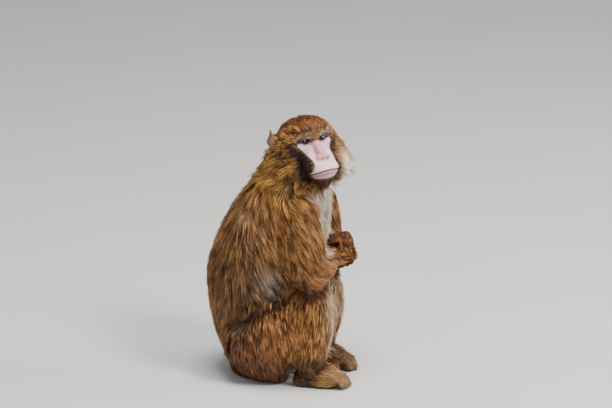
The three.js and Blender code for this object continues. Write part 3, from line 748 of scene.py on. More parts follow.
@dataclass
class Skin:
    """The one skin of the body, with the fields that the coat grows by."""

    pose: Pose
    face: Face
    marks: Marks
    voxel: float = 2.8
    swell: float = 0.7
    floor_gap: float = 0.15
    sink_steps: int = 6
    ruff_depth: float = 11.0
    face_depth: float = 0.6
    beard_depth: float = 8.0
    wrist_thinning: float = 0.5
    ankle_thinning: float = 0.45
    floor_thinning: float = 0.93
    shoulder_fill: float = 9.0
    groove_depth: float = 9.0
    wide_borders: int = 18
    narrow_borders: int = 4
    combing: int = 26
    depth: dict = field(default_factory=lambda: {
        "head": 7.0, "ear": 0.8, "neck": 13.0, "trunk": 14.0, "tail": 4.0, "upper_arm": 12.0,
        "forearm": 8.0, "hand": 1.4, "thigh": 12.0, "shank": 9.0, "foot": 2.6,
    })

    def build(self) -> None:
        """Makes the skin's surface and works out its fields, step by step."""
        self.solid_points, self.solid_triangles, self.solid_owner = solid_arrays(FLESH)
        self.surface = self.shrink_wrapped()
        self.part = self.parts(self.wide_borders)
        self.sink()
        self.refine(self.fine_zone(), 1)
        self.refine(self.face_zone(), 1)
        self.face.press(self.surface)
        self.part = self.parts(self.narrow_borders)
        self.normal = self.surface.normals()
        self.painted = self.marks.paint(self.surface.points, self.normal, self.part)
        self.flow = self.hair_flow()

    def shrink_wrapped(self) -> Surface:
        """One closed surface round all the solids, with the seams between them gone."""
        solid = Surface(self.solid_points, self.solid_triangles)
        source = mesh_from("solids", solid.points + solid.normals() * self.swell, solid.triangles)
        remesh = source.modifiers.new("wrap", "REMESH")
        remesh.mode = "VOXEL"
        remesh.voxel_size = self.voxel * MM
        held = source.evaluated_get(bpy.context.evaluated_depsgraph_get())
        mesh = bpy.data.meshes.new_from_object(held)
        wrapped = Surface(*mesh_arrays(mesh))
        bpy.data.objects.remove(source)
        bpy.data.meshes.remove(mesh)
        return self.main_body(wrapped)

    @staticmethod
    def main_body(surface: Surface) -> Surface:
        """The largest connected body of a surface, without any stray shells inside it."""
        label = np.arange(len(surface.points))
        start, end = surface.edges.T
        while True:
            low = np.minimum(label[start], label[end])
            fresh = label.copy()
            np.minimum.at(fresh, start, low)
            np.minimum.at(fresh, end, low)
            fresh = fresh[fresh]
            if (fresh == label).all():
                break
            label = fresh
        keep = label == np.bincount(label).argmax()
        number = np.cumsum(keep) - 1
        return Surface(surface.points[keep], number[surface.triangles[keep[surface.triangles[:, 0]]]])

    def parts(self, rounds: int) -> dict[str, np.ndarray]:
        """How much each vertex belongs to each kind of part, softened over the borders."""
        tree = BVHTree.FromPolygons(self.solid_points.tolist(), self.solid_triangles.tolist())
        index = np.array([tree.find_nearest(p)[2] for p in self.surface.points.tolist()])
        owner = np.array(FLESH)[self.solid_owner[index]]
        kinds = np.array([name.replace("_left", "").replace("_right", "") for name in FLESH])
        kind = kinds[self.solid_owner[index]]
        self.side = np.where(self.surface.points[:, 0] < self.pose.shift[0], "right", "left")
        self.side = np.where(np.char.endswith(owner, "_right"), "right", self.side)
        self.side = np.where(np.char.endswith(owner, "_left"), "left", self.side)
        self.kind = kind
        soft = np.stack([(kind == name).astype(float) for name in KINDS], axis=1)
        soft = self.surface.smoothed(soft, rounds, 0.6)
        part = dict(zip(KINDS, soft.T))
        normal = self.surface.normals()
        part["underside"] = np.where(kind == "foot", ease(-0.3, -0.7, normal[:, 2]), 0.0)
        palm_out = {"right": unit(np.array((0.3, 0.3, -1.0))), "left": unit(np.array((-0.3, 1.0, -0.1)))}
        for side, out in palm_out.items():
            palm = (kind == "hand") & (self.side == side)
            part["underside"] = np.where(palm, ease(0.1, 0.6, normal @ out), part["underside"])
        part["digit"] = self.digits(kind)
        return part

    def digits(self, kind: np.ndarray) -> np.ndarray:
        """How far out on a finger or toe each vertex lies, 0 on the palm or sole."""
        far = np.zeros(len(kind))
        for side in ("right", "left"):
            for name, start, heading, reach in (
                ("hand", "wrist", self.pose.hand_heading[side], 44.0),
                ("foot", "heel", self.pose.foot_heading[side], 80.0),
            ):
                here = (kind == name) & (self.side == side)
                along = (self.surface.points - self.pose.joint(side, start)) @ unit(np.array(heading, float))
                far = np.where(here, ease(reach, reach + 12, along), far)
        return far

    def sink(self) -> None:
        """Smooths the wrapped solids and draws them in by the coat's depth."""
        depth = sum(self.part[name] * self.depth[name] for name in KINDS)
        head = self.pose.to_head(self.surface.points)
        x, y, z = np.abs(head[:, 0]), head[:, 1], head[:, 2]
        ruff = self.part["head"] * ease(40, 60, x) * ease(0, -30, z) * ease(-4, 14, y)
        depth = depth + self.ruff_depth * ruff
        front = self.part["head"] * ease(50, 34, x) * ease(30, 14, y) * ease(26, 16, z)
        beard = self.part["head"] * ease(-84, -96, z) * ease(50, 20, y)
        depth = depth * (1 - front) + self.face_depth * front + self.beard_depth * beard
        wrist = self.part["forearm"] * self.near_joint("wrist", 55)
        depth = depth * (1 - self.wrist_thinning * wrist)
        ankle = self.part["shank"] * self.near_joint("ankle", 60)
        depth = depth * (1 - self.ankle_thinning * ankle)
        down = ease(0.2, -0.6, self.surface.normals()[:, 2])
        floor = ease(26, 4, self.surface.points[:, 2])
        depth = depth * (1 - self.floor_thinning * floor * np.maximum(down, 0.35))
        seat = self.surface.points - self.pose.shift
        shoulder = 4 * self.part["trunk"] * self.part["upper_arm"] * ease(270, 320, seat[:, 2])
        depth = depth - self.shoulder_fill * shoulder
        groove = hump(self.marks.crease(seat) + 4, 7) * ease(30, 5, seat[:, 1]) * ease(-170, -140, seat[:, 1])
        depth = np.maximum(self.surface.smoothed(depth, 12), 0.4)
        depth = depth + self.groove_depth * groove * np.clip(self.part["trunk"] + self.part["thigh"], 0, 1)
        firm = self.part["hand"] + self.part["foot"] + self.part["ear"] + front
        soft = np.clip(1 - firm, 0, 1) * 0.55 + 0.05
        self.surface.points = self.surface.smoothed(self.surface.points, 8, soft)
        for _ in range(self.sink_steps):
            self.surface.points -= self.surface.normals() * (depth / self.sink_steps)[:, None]
            self.surface.points = self.surface.smoothed(self.surface.points, 2, soft)
        self.surface.points[:, 2] = np.maximum(self.surface.points[:, 2], self.floor_gap)
        self.coat_depth = depth + self.swell

    def near_joint(self, name: str, reach: float) -> np.ndarray:
        """1 at a joint on either side, 0 beyond a reach."""
        points = self.surface.points
        left, right = (np.linalg.norm(points - self.pose.joint(s, name), axis=1) for s in ("left", "right"))
        return ease(reach, reach * 0.3, np.minimum(left, right))

    def fine_zone(self) -> np.ndarray:
        """Vertices of the face, hands, feet and ears, which get a finer mesh."""
        head = self.pose.to_head(self.surface.points)
        return (self.face.share(head) > 0) | np.isin(self.kind, ("hand", "ear"))

    def face_zone(self) -> np.ndarray:
        """Vertices round the eyes, nose and mouth, which get the finest mesh."""
        head = self.pose.to_head(self.surface.points)
        x, y, z = np.abs(head[:, 0]), head[:, 1], head[:, 2]
        return (self.face.share(head) > 0.3) & (x < 38) & (y < 16) & (z < 16) & (z > -84)

    def refine(self, chosen: np.ndarray, times: int) -> None:
        """Splits the chosen triangles and carries the fields over."""
        for _ in range(times):
            self.surface, parents = self.surface.refined(chosen)
            self.coat_depth = self.coat_depth[parents].mean(axis=1)
            self.kind = self.kind[parents[:, 0]]
            chosen = chosen[parents].all(axis=1)

    def hair_flow(self) -> np.ndarray:
        """Lie of the hair at every vertex: a unit vector along the skin."""
        points = self.surface.points
        flow = np.zeros_like(points)
        seat = points - self.pose.shift
        plain = {
            "trunk": (0, 0.12, -1), "neck": (0, 0.2, -1), "tail": (0, 0.3, -1), "ear": (0, 0.6, 0.8),
        }
        for name, heading in plain.items():
            flow += self.part[name][:, None] * unit(np.array(heading, float))
        flank = self.part["trunk"] * ease(30, 80, np.abs(seat[:, 0])) * ease(50, -50, seat[:, 1])
        flow[:, 1] -= 0.75 * flank
        rump = self.part["trunk"] * ease(80, 30, seat[:, 2])
        flow[:, 1] -= 0.9 * rump
        for side in ("right", "left"):
            here = (self.side == side).astype(float)
            ways = {
                "upper_arm": self.pose.bone(side, "shoulder", "elbow") + (0, -0.55, 0),
                "forearm": self.pose.bone(side, "elbow", "wrist") + (0, 0, -0.7),
                "thigh": np.array((0, -0.25, -1.0)),
                "shank": self.pose.bone(side, "knee", "ankle"),
                "hand": np.array(self.pose.hand_heading[side], float),
                "foot": np.array(self.pose.foot_heading[side], float) + (0, 0, -0.3),
            }
            for name, way in ways.items():
                flow += (here * self.part[name])[:, None] * unit(way)
        head = self.pose.to_head(points)
        centre = np.array((0.0, -70.0, -22.0))
        radial = unit(head - centre)
        radial[:, 2] -= 0.55 * ease(20, 70, head[:, 1]) + 0.35 * ease(36, 60, np.abs(head[:, 0]))
        radial[:, 2] -= 0.5 * ease(-60, -90, head[:, 2])
        flow += self.part["head"][:, None] * (radial @ self.pose.turn.T)
        flow = across(flow, self.normal)
        combed = self.surface.smoothed(flow, self.combing)
        return unit(across(combed, self.normal))

    def dress(self, material: bpy.types.Material) -> None:
        """Makes the skin's object with its marks and finish."""
        piece = mesh_from("skin", self.surface.points, self.surface.triangles)
        self.marks.store(piece, self.painted)
        finish_piece(piece, material)
        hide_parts(*FLESH)


# ---------------------------------------------------------------- the coat


@dataclass(frozen=True)
class Growth:
    """How one stretch of coat grows: its locks, their size, and how they gather, lift and wave."""

    name: str
    locks: int
    length: float
    width: float
    tuft: float
    gather: float = 0.7
    lift: float = 1.0
    wave: float = 1.5


class Patch(Enum):
    """The stretches of the coat, each a piece of its own."""

    # Name, number of locks, length, width, space between tufts, then gather, lift and wave.
    FACE = Growth("coat_face", 7500, 8.0, 0.75, 5.0, 0.35, 0.8, 0.5)
    CROWN = Growth("coat_crown", 11000, 22.0, 1.15, 7.0, 0.6, 1.1, 1.2)
    RUFF = Growth("coat_ruff", 11500, 36.0, 1.25, 8.0, 0.72, 1.4, 2.2)
    UPPER_BACK = Growth("coat_upper_back", 11500, 48.0, 1.8, 7.5, 0.62, 1.0, 2.2)
    LOWER_BACK = Growth("coat_lower_back", 10500, 44.0, 1.8, 7.5, 0.58, 1.0, 2.2)
    FRONT = Growth("coat_front", 6000, 40.0, 1.8, 10.0, 0.6, 1.0, 3.0)
    ARM_RIGHT = Growth("coat_arm_right", 8500, 42.0, 1.6, 7.0, 0.6, 1.0, 2.2)
    ARM_LEFT = Growth("coat_arm_left", 6000, 44.0, 1.8, 8.5, 0.7, 1.0, 2.5)
    LEG_RIGHT = Growth("coat_leg_right", 9500, 30.0, 1.6, 6.5, 0.5, 1.0, 1.6)
    LEG_LEFT = Growth("coat_leg_left", 6500, 30.0, 1.8, 6.5, 0.5, 1.0, 1.6)
    HANDS = Growth("coat_hands_feet", 4500, 10.5, 0.85, 5.0, 0.4, 0.9, 0.5)


@dataclass
class Coat:
    """All the locks of the coat, grown out of the skin."""

    pose: Pose
    skin: Skin
    seed: int = 41
    steps: int = 3
    root_depth: float = 0.6
    root_pull: float = 0.25
    rise_power: float = 0.75
    path_floor: float = 0.7
    floor_gap: float = 0.6
    guide_lift: tuple = (0.75, 0.5)
    guide_length: tuple = (0.85, 0.35)
    lock_length: tuple = (0.72, 0.5)
    lock_layer: tuple = (0.45, 0.6)
    lock_width: tuple = (0.75, 0.5)
    fewest_tufts: int = 12
    tuft_jitter: float = 0.18
    gather_power: float = 1.1
    closing: float = 0.75
    sway_turn: float = 3.0
    ridge: float = 0.7
    chart_square: float = 0.003
    # Share of a lock's full width at each share of its length.
    width_places: tuple = (0, 0.3, 0.7, 1)
    width_shares: tuple = (0.7, 1.0, 0.72, 0.2)

    def build(self, material: bpy.types.Material) -> None:
        """Grows every patch.

        Args:
            material: the hair's finish.
        """
        self.random = np.random.default_rng(self.seed)
        self.space = Field(self.skin.surface, self.skin.flow)
        self.patch_of = self.sort_patches()
        self.length_scale = self.lengths()
        self.density = self.densities()
        areas = self.skin.surface.areas() * self.density[self.skin.surface.triangles].mean(axis=1)
        for patch in Patch:
            self.grow(patch, areas, material)

    def sort_patches(self) -> np.ndarray:
        """The patch of each triangle of the skin."""
        tri = self.skin.surface.triangles[:, 0]
        kind, side = self.skin.kind[tri], self.skin.side[tri]
        points = self.skin.surface.points[tri]
        head = self.pose.to_head(points)
        seat = points - self.pose.shift
        x, y, z = np.abs(head[:, 0]), head[:, 1], head[:, 2]
        names = np.full(len(tri), Patch.UPPER_BACK.name, dtype=object)
        names[(kind == "trunk") & (seat[:, 2] < 225)] = Patch.LOWER_BACK.name
        names[kind == "tail"] = Patch.LOWER_BACK.name
        front = np.isin(kind, ("trunk", "neck")) & (seat[:, 1] < -88) & (np.abs(seat[:, 0]) < 84)
        names[front] = Patch.FRONT.name
        for name, kinds in (("ARM", ("upper_arm", "forearm")), ("LEG", ("thigh", "shank"))):
            for which in ("right", "left"):
                names[np.isin(kind, kinds) & (side == which)] = Patch[name + "_" + which.upper()].name
        names[np.isin(kind, ("hand", "foot"))] = Patch.HANDS.name
        on_head = np.isin(kind, ("head", "ear"))
        names[on_head] = Patch.RUFF.name
        names[on_head & (z > -2 - 0.3 * (x - 30)) & (y > 8)] = Patch.CROWN.name
        names[on_head & (z > 13)] = Patch.CROWN.name
        names[on_head & (y < 20) & (x < 52) & (z < 17) & (z > -92)] = Patch.FACE.name
        return names

    def lengths(self) -> np.ndarray:
        """Share of the patch's full length at each vertex."""
        points = self.skin.surface.points
        head = self.pose.to_head(points)
        x, y, z = np.abs(head[:, 0]), head[:, 1], head[:, 2]
        part = self.skin.part
        scale = np.ones(len(points))
        scale *= 1 - 0.3 * part["forearm"] * self.skin.near_joint("wrist", 50)
        scale *= 1 - 0.35 * part["shank"] * self.skin.near_joint("ankle", 70)
        scale *= 1 - 0.45 * part["digit"]
        scale *= 1 - 0.65 * part["tail"]
        on_face = part["head"] * ease(24, 10, y) * ease(24, 16, z)
        grow = ease(26, 50, x) + 1.1 * ease(-70, -88, z)
        scale *= 1 + on_face * (grow * 1.3 - 0.25)
        scale *= 1 - 0.78 * part["ear"]
        beside_ear = np.linalg.norm(np.stack([x, y, z], axis=1) - (61.0, 62.0, 4.0), axis=1)
        scale *= 1 - 0.62 * part["head"] * ease(46, 26, beside_ear)
        hanging = part["head"] * ease(0, 24, head[:, 0]) * ease(-60, -84, z) * ease(50, 24, y)
        scale *= 1 + 0.7 * hanging
        brow = part["head"] * ease(40, 26, y) * ease(-4, 40, -z + 26) * ease(10, 16, z)
        scale *= 1 - 0.45 * np.clip(brow, 0, 1)
        seat = points - self.pose.shift
        scale *= 1 + 0.6 * (part["thigh"] + part["trunk"]) * ease(60, 25, seat[:, 2])
        low_chest = (part["trunk"] + part["neck"]) * ease(-90, -120, seat[:, 1]) * ease(340, 290, seat[:, 2])
        scale *= 1 - 0.6 * low_chest
        return np.clip(scale, 0.2, 3.0)

    def densities(self) -> np.ndarray:
        """How thickly the coat grows at each vertex, 0 on bare skin."""
        painted = self.skin.painted
        bare = np.clip(painted["bare"], 0, 1)
        points = self.skin.surface.points
        under = ease(1.2, 3.5, points[:, 2])
        seat = points - self.pose.shift
        behind_arms = hump(seat[:, 2] - 262, 20) * ease(-100, -115, seat[:, 1])
        behind_arms = behind_arms * ease(80, 60, np.abs(seat[:, 0]))
        held = (self.skin.part["trunk"] + self.skin.part["neck"]) * behind_arms
        return np.clip(1 - 1.12 * bare, 0, 1) * under * np.clip(1 - held, 0.05, 1)

    def roots(self, patch: Patch, areas: np.ndarray, count: int) -> dict[str, np.ndarray]:
        """Picks places for roots, evenly over the patch's share of the skin.

        Args:
            patch: the stretch of coat.
            areas: area times thickness of growth for each triangle.
            count: how many roots.

        Returns:
            Places, normals, flows and the fields there.
        """
        chosen = np.flatnonzero((self.patch_of == patch.name) & (areas > 0))
        total = np.cumsum(areas[chosen])
        if not len(total):
            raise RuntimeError("no skin for " + patch.value.name)
        pick = (np.arange(count) + self.random.random(count)) / count * total[-1]
        triangle = chosen[np.minimum(np.searchsorted(total, pick), len(chosen) - 1)]
        corner = self.skin.surface.triangles[triangle]
        share = self.random.random((count, 2))
        share = np.where(share.sum(axis=1, keepdims=True) > 1, 1 - share, share)
        weight = np.concatenate([1 - share.sum(axis=1, keepdims=True), share], axis=1)[:, :, None]
        skin = self.skin
        found = {
            "place": (skin.surface.points[corner] * weight).sum(axis=1),
            "normal": unit((skin.normal[corner] * weight).sum(axis=1)),
            "flow": unit((skin.flow[corner] * weight).sum(axis=1)),
            "depth": (skin.coat_depth[corner] * weight[:, :, 0]).sum(axis=1),
            "scale": (self.length_scale[corner] * weight[:, :, 0]).sum(axis=1),
        }
        for name, values in skin.painted.items():
            found[name] = (values[corner] * weight[:, :, 0]).sum(axis=1)
        return found

    def paths(self, found: dict[str, np.ndarray], length: np.ndarray, height: np.ndarray) -> np.ndarray:
        """Lets locks grow along the skin.

        Args:
            found: the roots.
            length: length of each lock.
            height: height over the skin that its tip reaches.

        Returns:
            Points of each lock, one row of steps + 1 places.
        """
        place = found["place"] - self.root_depth * found["normal"]
        out = [place]
        flow = found["flow"]
        for step in range(1, self.steps + 1):
            share = step / self.steps
            way = unit(flow + self.root_pull * unit(self.space.sample(self.space.flow, place)))
            place = place + way * (length / self.steps)[:, None]
            up = unit(self.space.sample(self.space.out, place))
            target = height * share ** self.rise_power
            gap = self.space.sample(self.space.distance, place)
            place = place + up * (target - gap)[:, None]
            place[:, 2] = np.maximum(place[:, 2], self.path_floor)
            flow = unit(across(self.space.sample(self.space.flow, place), up))
            out.append(place)
        return np.stack(out, axis=1)

    @staticmethod
    def stand(found: dict[str, np.ndarray]) -> np.ndarray:
        """How high the coat stands over the skin: its full depth, or less where it is cropped short."""
        return found["depth"] * np.clip(1.5 * found["scale"], 0.25, 1.0)

    def grow(self, patch: Patch, areas: np.ndarray, material: bpy.types.Material) -> None:
        """Grows one patch of coat and makes its piece.

        Args:
            patch: the stretch of coat.
            areas: area times thickness of growth for each triangle.
            material: the hair's finish.
        """
        plan: Growth = patch.value
        found = self.roots(patch, areas, plan.locks)
        covered = areas[self.patch_of == patch.name].sum()
        count = max(int(covered / plan.tuft ** 2), self.fewest_tufts)
        guides = self.roots(patch, areas, count)
        guide_random = self.random.random(count)
        guide_lift = varied(self.guide_lift, self.random.random(count))
        guide_length = plan.length * guides["scale"] * varied(self.guide_length, guide_random)
        guide_path = self.paths(guides, guide_length, self.stand(guides) * guide_lift * plan.lift)
        tree = kdtree.KDTree(count)
        for index, place in enumerate(guides["place"].tolist()):
            tree.insert(place, index)
        tree.balance()
        jitter = self.random.normal(0, plan.tuft * self.tuft_jitter, (plan.locks, 3))
        nearest = np.array([tree.find(p)[1] for p in (found["place"] + jitter).tolist()])
        own = self.random.random((plan.locks, 4))
        length = plan.length * found["scale"] * varied(self.lock_length, own[:, 0])
        layer = varied(self.lock_layer, own[:, 1])
        path = self.paths(found, length, self.stand(found) * layer * plan.lift)
        offset = found["place"] - guides["place"][nearest]
        steps = np.linspace(0, 1, self.steps + 1)
        for step, share in enumerate(steps):
            hold = plan.gather * share ** self.gather_power
            towards = guide_path[nearest, step] + offset * (1 - self.closing * share)
            path[:, step] += (towards - path[:, step]) * hold
        phase = 2 * math.pi * own[:, 2]
        side = unit(np.cross(found["flow"], found["normal"]))
        for step, share in enumerate(steps[1:], 1):
            sway = plan.wave * (share * np.sin(phase + self.sway_turn * share))
            path[:, step] += side * sway[:, None]
        path[:, :, 2] = np.maximum(path[:, :, 2], self.floor_gap)
        points, triangles, share = self.locks(path, plan.width * varied(self.lock_width, own[:, 3]))
        piece = mesh_from(plan.name, points, triangles)
        per_lock = points.shape[0] // plan.locks
        marks = {name: np.repeat(found[name], per_lock) for name in self.skin.painted}
        self.skin.marks.store(piece, marks)
        own_random = np.repeat(own[:, 2], per_lock)
        tuft_random = np.repeat(guide_random[nearest], per_lock)
        give_values(piece, "lock", np.stack([share, own_random, tuft_random], axis=1))
        self.unwrap(piece, patch, found, per_lock)
        finish_piece(piece, material)

    def locks(self, path: np.ndarray, width: np.ndarray) -> tuple[np.ndarray, np.ndarray, np.ndarray]:
        """Turns paths into closed tapering locks with three sides.

        Args:
            path: points of each lock.
            width: full width of each lock.

        Returns:
            Points, triangles, and the share of the length at each point.
        """
        count, rings = path.shape[0], path.shape[1] - 1
        profile = np.interp(np.linspace(0, 1, rings + 1)[:-1], self.width_places, self.width_shares)
        points = np.zeros((count, rings * 3 + 1, 3))
        for ring in range(rings):
            ahead = unit(path[:, min(ring + 1, rings)] - path[:, max(ring - 1, 0)])
            up = self.space.sample(self.space.out, path[:, ring])
            up = unit(across(up, ahead) + 1e-6)
            side = np.cross(ahead, up)
            half = (width * profile[ring] / 2)[:, None]
            points[:, ring * 3] = path[:, ring] - side * half
            points[:, ring * 3 + 1] = path[:, ring] + side * half
            points[:, ring * 3 + 2] = path[:, ring] + up * half * self.ridge
        points[:, -1] = path[:, -1]
        faces = [(0, 1, 2)]
        for ring in range(rings - 1):
            low, high = ring * 3, ring * 3 + 3
            for a, b in ((0, 1), (1, 2), (2, 0)):
                faces += [(low + b, low + a, high + a), (low + b, high + a, high + b)]
        last, tip = (rings - 1) * 3, rings * 3
        faces += [(last + b, last + a, tip) for a, b in ((0, 1), (1, 2), (2, 0))]
        faces = np.array(faces)
        triangles = (np.arange(count)[:, None, None] * (rings * 3 + 1) + faces[None]).reshape(-1, 3)
        share = np.tile(np.append(np.repeat(np.arange(rings) / rings, 3), 1.0), count)
        return points.reshape(-1, 3), triangles, share

    def unwrap(self, piece: bpy.types.Object, patch: Patch, found: dict[str, np.ndarray],
               per_lock: int) -> None:
        """Gives each lock a small square of its own on an unwrap of the skin.

        Args:
            piece: the coat piece.
            patch: its stretch of coat.
            found: the roots.
            per_lock: vertices in each lock.
        """
        flat = self.chart(patch, found["place"])
        corner_u = np.append(np.tile((0.0, 1.0, 0.5), self.steps), 0.5)
        corner_v = np.append(np.repeat(np.arange(self.steps) / self.steps, 3), 1.0)
        u = np.repeat(flat[:, 0], per_lock) + self.chart_square * np.tile(corner_u, len(flat))
        v = np.repeat(flat[:, 1], per_lock) + self.chart_square * np.tile(corner_v, len(flat))
        loops = np.zeros(len(piece.data.loops), np.int32)
        piece.data.loops.foreach_get("vertex_index", loops)
        layer = piece.data.uv_layers.new(name="OFBake")
        layer.data.foreach_set("uv", np.stack([u[loops], v[loops]], axis=1).astype(np.float32).ravel())

    def chart(self, patch: Patch, places: np.ndarray) -> np.ndarray:
        """Rolls a stretch of skin out flat round its own axis, inside the unit square."""
        side = "right" if patch.name.endswith("RIGHT") else "left"
        if patch.name.startswith("ARM"):
            start, end = self.pose.joint(side, "shoulder"), self.pose.joint(side, "elbow")
        elif patch.name.startswith("LEG"):
            start, end = self.pose.joint(side, "knee"), self.pose.joint(side, "ankle")
        elif patch in (Patch.FACE, Patch.CROWN, Patch.RUFF):
            start, end = self.pose.from_head(np.array([(0, 40, 40), (0, 40, -90.0)]))
        else:
            start, end = self.pose.shift + (0, -30, 400), self.pose.shift + (0, -30, 0)
        axis = unit(end - start)
        first = unit(np.cross(axis, (0.31, 0.95, 0.05)))
        second = np.cross(axis, first)
        arm = places - start
        angle = np.arctan2(arm @ second, arm @ first)
        along = arm @ axis
        flat = np.stack([angle, along], axis=1)
        low, high = flat.min(axis=0), flat.max(axis=0)
        return 0.01 + 0.975 * (flat - low) / np.maximum(high - low, 1e-6)


# ---------------------------------------------------------------- finishes


# The near-black #24100E is painted shade, laid where the shade mark lies; the lilac tint and the dark lid
# colour are partly painted shade.
COLOURS = {
    "root": "#DC8738", "tip": "#EDB06C", "cream": "#FFEAD0", "gold": "#F6B660", "dark": "#5C4638",
    "rust": "#D06A20", "beard": "#F2E6DA", "brow": "#DDB680", "ash": "#D2C6BA", "umber": "#96704E",
    "tan": "#F8BE7C", "bare_hand": "#4A3A33", "pink": "#F0CBD2", "rosy": "#DC9C98",
    "freckle": "#9C5F58", "lilac_shade": "#BC9FB2", "lid": "#38262C", "lip": "#8E6870", "painted_shade": "#24100E",
}


MARK_ORDER = ("umber", "ash", "rust", "gold", "tan", "cream", "beard", "brow", "dark")
# Value ramp from root to tip: the dark root is partly the hair's own banding and partly painted shade deep in
# the coat; cream, beard and tan hold a floor under it.
BAND_AND_SHADE_POWER = 1.9
DARKEST, BRIGHTEST = 0.045, 1.2
TAN_SHARE, PALE_FLOOR = 0.36, 0.9


def blend(tree: bpy.types.NodeTree, share, one, other, kind: str = "MIX") -> bpy.types.NodeSocket:
    """Mixes two colours by a share, or by multiplying, and gives the result's socket."""
    node = add_node(tree, "ShaderNodeMix", {0: share, 6: one, 7: other}, data_type="RGBA", blend_type=kind)
    return node.outputs[2]


def mark_sockets(tree: bpy.types.NodeTree) -> dict[str, bpy.types.NodeSocket]:
    """Reads every mark of the surface, by name."""
    sockets = {}
    for layer, names in Marks.LAYERS.items():
        node = add_node(tree, "ShaderNodeAttribute", attribute_name=layer)
        parts = add_node(tree, "ShaderNodeSeparateColor", {"Color": node.outputs["Color"]})
        sockets.update(zip(names, [*parts.outputs[:3], node.outputs["Alpha"]]))
    return sockets


def math_node(tree: bpy.types.NodeTree, operation: str, one, other) -> bpy.types.NodeSocket:
    """Works out one sum on two sockets or numbers, and gives the result's socket."""
    return add_node(tree, "ShaderNodeMath", {0: one, 1: other}, operation=operation).outputs[0]


def ranged(tree: bpy.types.NodeTree, value: bpy.types.NodeSocket, low: float = 0.0, high: float = 1.0,
           to_low: float = 0.0, to_high: float = 1.0) -> bpy.types.NodeSocket:
    """Takes a value from one range to another, held at both ends."""
    node = add_node(tree, "ShaderNodeMapRange", {
        "Value": value, "From Min": low, "From Max": high, "To Min": to_low, "To Max": to_high,
    })
    return node.outputs[0]


def coat_colour(tree: bpy.types.NodeTree, marks: dict[str, bpy.types.NodeSocket],
                band_and_shade: bpy.types.NodeSocket) -> bpy.types.NodeSocket:
    """Mixes the hair's colour from the marks, the same for skin under fur and for the coat.

    The tip is bright and the root dark, partly from the hair's own banding and partly as painted shade deep
    in the coat; pale marks hold a floor under the brightness, and the shade mark ends in painted shade.

    Args:
        tree: the material's node tree.
        marks: the marks' sockets.
        band_and_shade: where along the hair this is, 0 at the dark root and 1 at the bright tip; the dark end
            is partly the hair's own banding and partly painted shade.

    Returns:
        The colour's output.
    """
    colour = blend(tree, band_and_shade, linear(COLOURS["root"]), linear(COLOURS["tip"]))
    for name in MARK_ORDER:
        colour = blend(tree, marks[name], colour, linear(COLOURS[name]))
    bent = math_node(tree, "POWER", band_and_shade, BAND_AND_SHADE_POWER)
    value = ranged(tree, bent, to_low=DARKEST, to_high=BRIGHTEST)
    light = math_node(tree, "MULTIPLY", marks["tan"], TAN_SHARE)
    light = math_node(tree, "MAXIMUM", marks["cream"], light)
    light = math_node(tree, "MAXIMUM", light, marks["beard"])
    pale = math_node(tree, "MULTIPLY", light, PALE_FLOOR)
    lifted = math_node(tree, "MAXIMUM", value, pale)
    lit = blend(tree, 1.0, colour, lifted, "MULTIPLY")
    # Painted shade where the shade mark lies: folds, armpits and the undersides of the arms.
    return blend(tree, marks["shade"], lit, linear(COLOURS["painted_shade"]))


@dataclass(frozen=True)
class HairFinish:
    """Guard hair of a macaque: keratin fibres, each dark at the root and banded gold to the tip.

    The flat scales of the fibre give a soft gloss along the lock; painted shade toward each root, on top of
    the hair's own dark root, keeps the gaps between locks deep.
    """

    name: str = "guard_hair"
    roughness: float = 0.55
    ior: float = 1.55
    specular: float = 0.22
    # Where each lock starts on the ramp and how far its length, its own random share and its tuft's move it;
    # the dark end is partly painted shade.
    root_shade_band: float = 0.12
    along_share: float = 0.6
    own_share: float = 0.56
    tuft_share: float = 0.5

    def make(self) -> bpy.types.Material:
        """Builds the material.

        Returns:
            The hair's material.
        """
        material, tree = empty_material(self.name)
        lock = add_node(tree, "ShaderNodeAttribute", attribute_name="lock")
        parts = add_node(tree, "ShaderNodeSeparateColor", {"Color": lock.outputs["Color"]})
        along, own, tuft = parts.outputs
        band_and_shade = ranged(tree, along, to_low=self.root_shade_band, to_high=self.root_shade_band + self.along_share)
        for socket, share in ((own, self.own_share), (tuft, self.tuft_share)):
            band_and_shade = math_node(tree, "ADD", band_and_shade, ranged(tree, socket, to_low=-share / 2, to_high=share / 2))
        colour = coat_colour(tree, mark_sockets(tree), ranged(tree, band_and_shade))
        add_shader(tree, {
            "Base Color": colour, "Roughness": self.roughness, "IOR": self.ior,
            "Specular IOR Level": self.specular,
        })
        return material


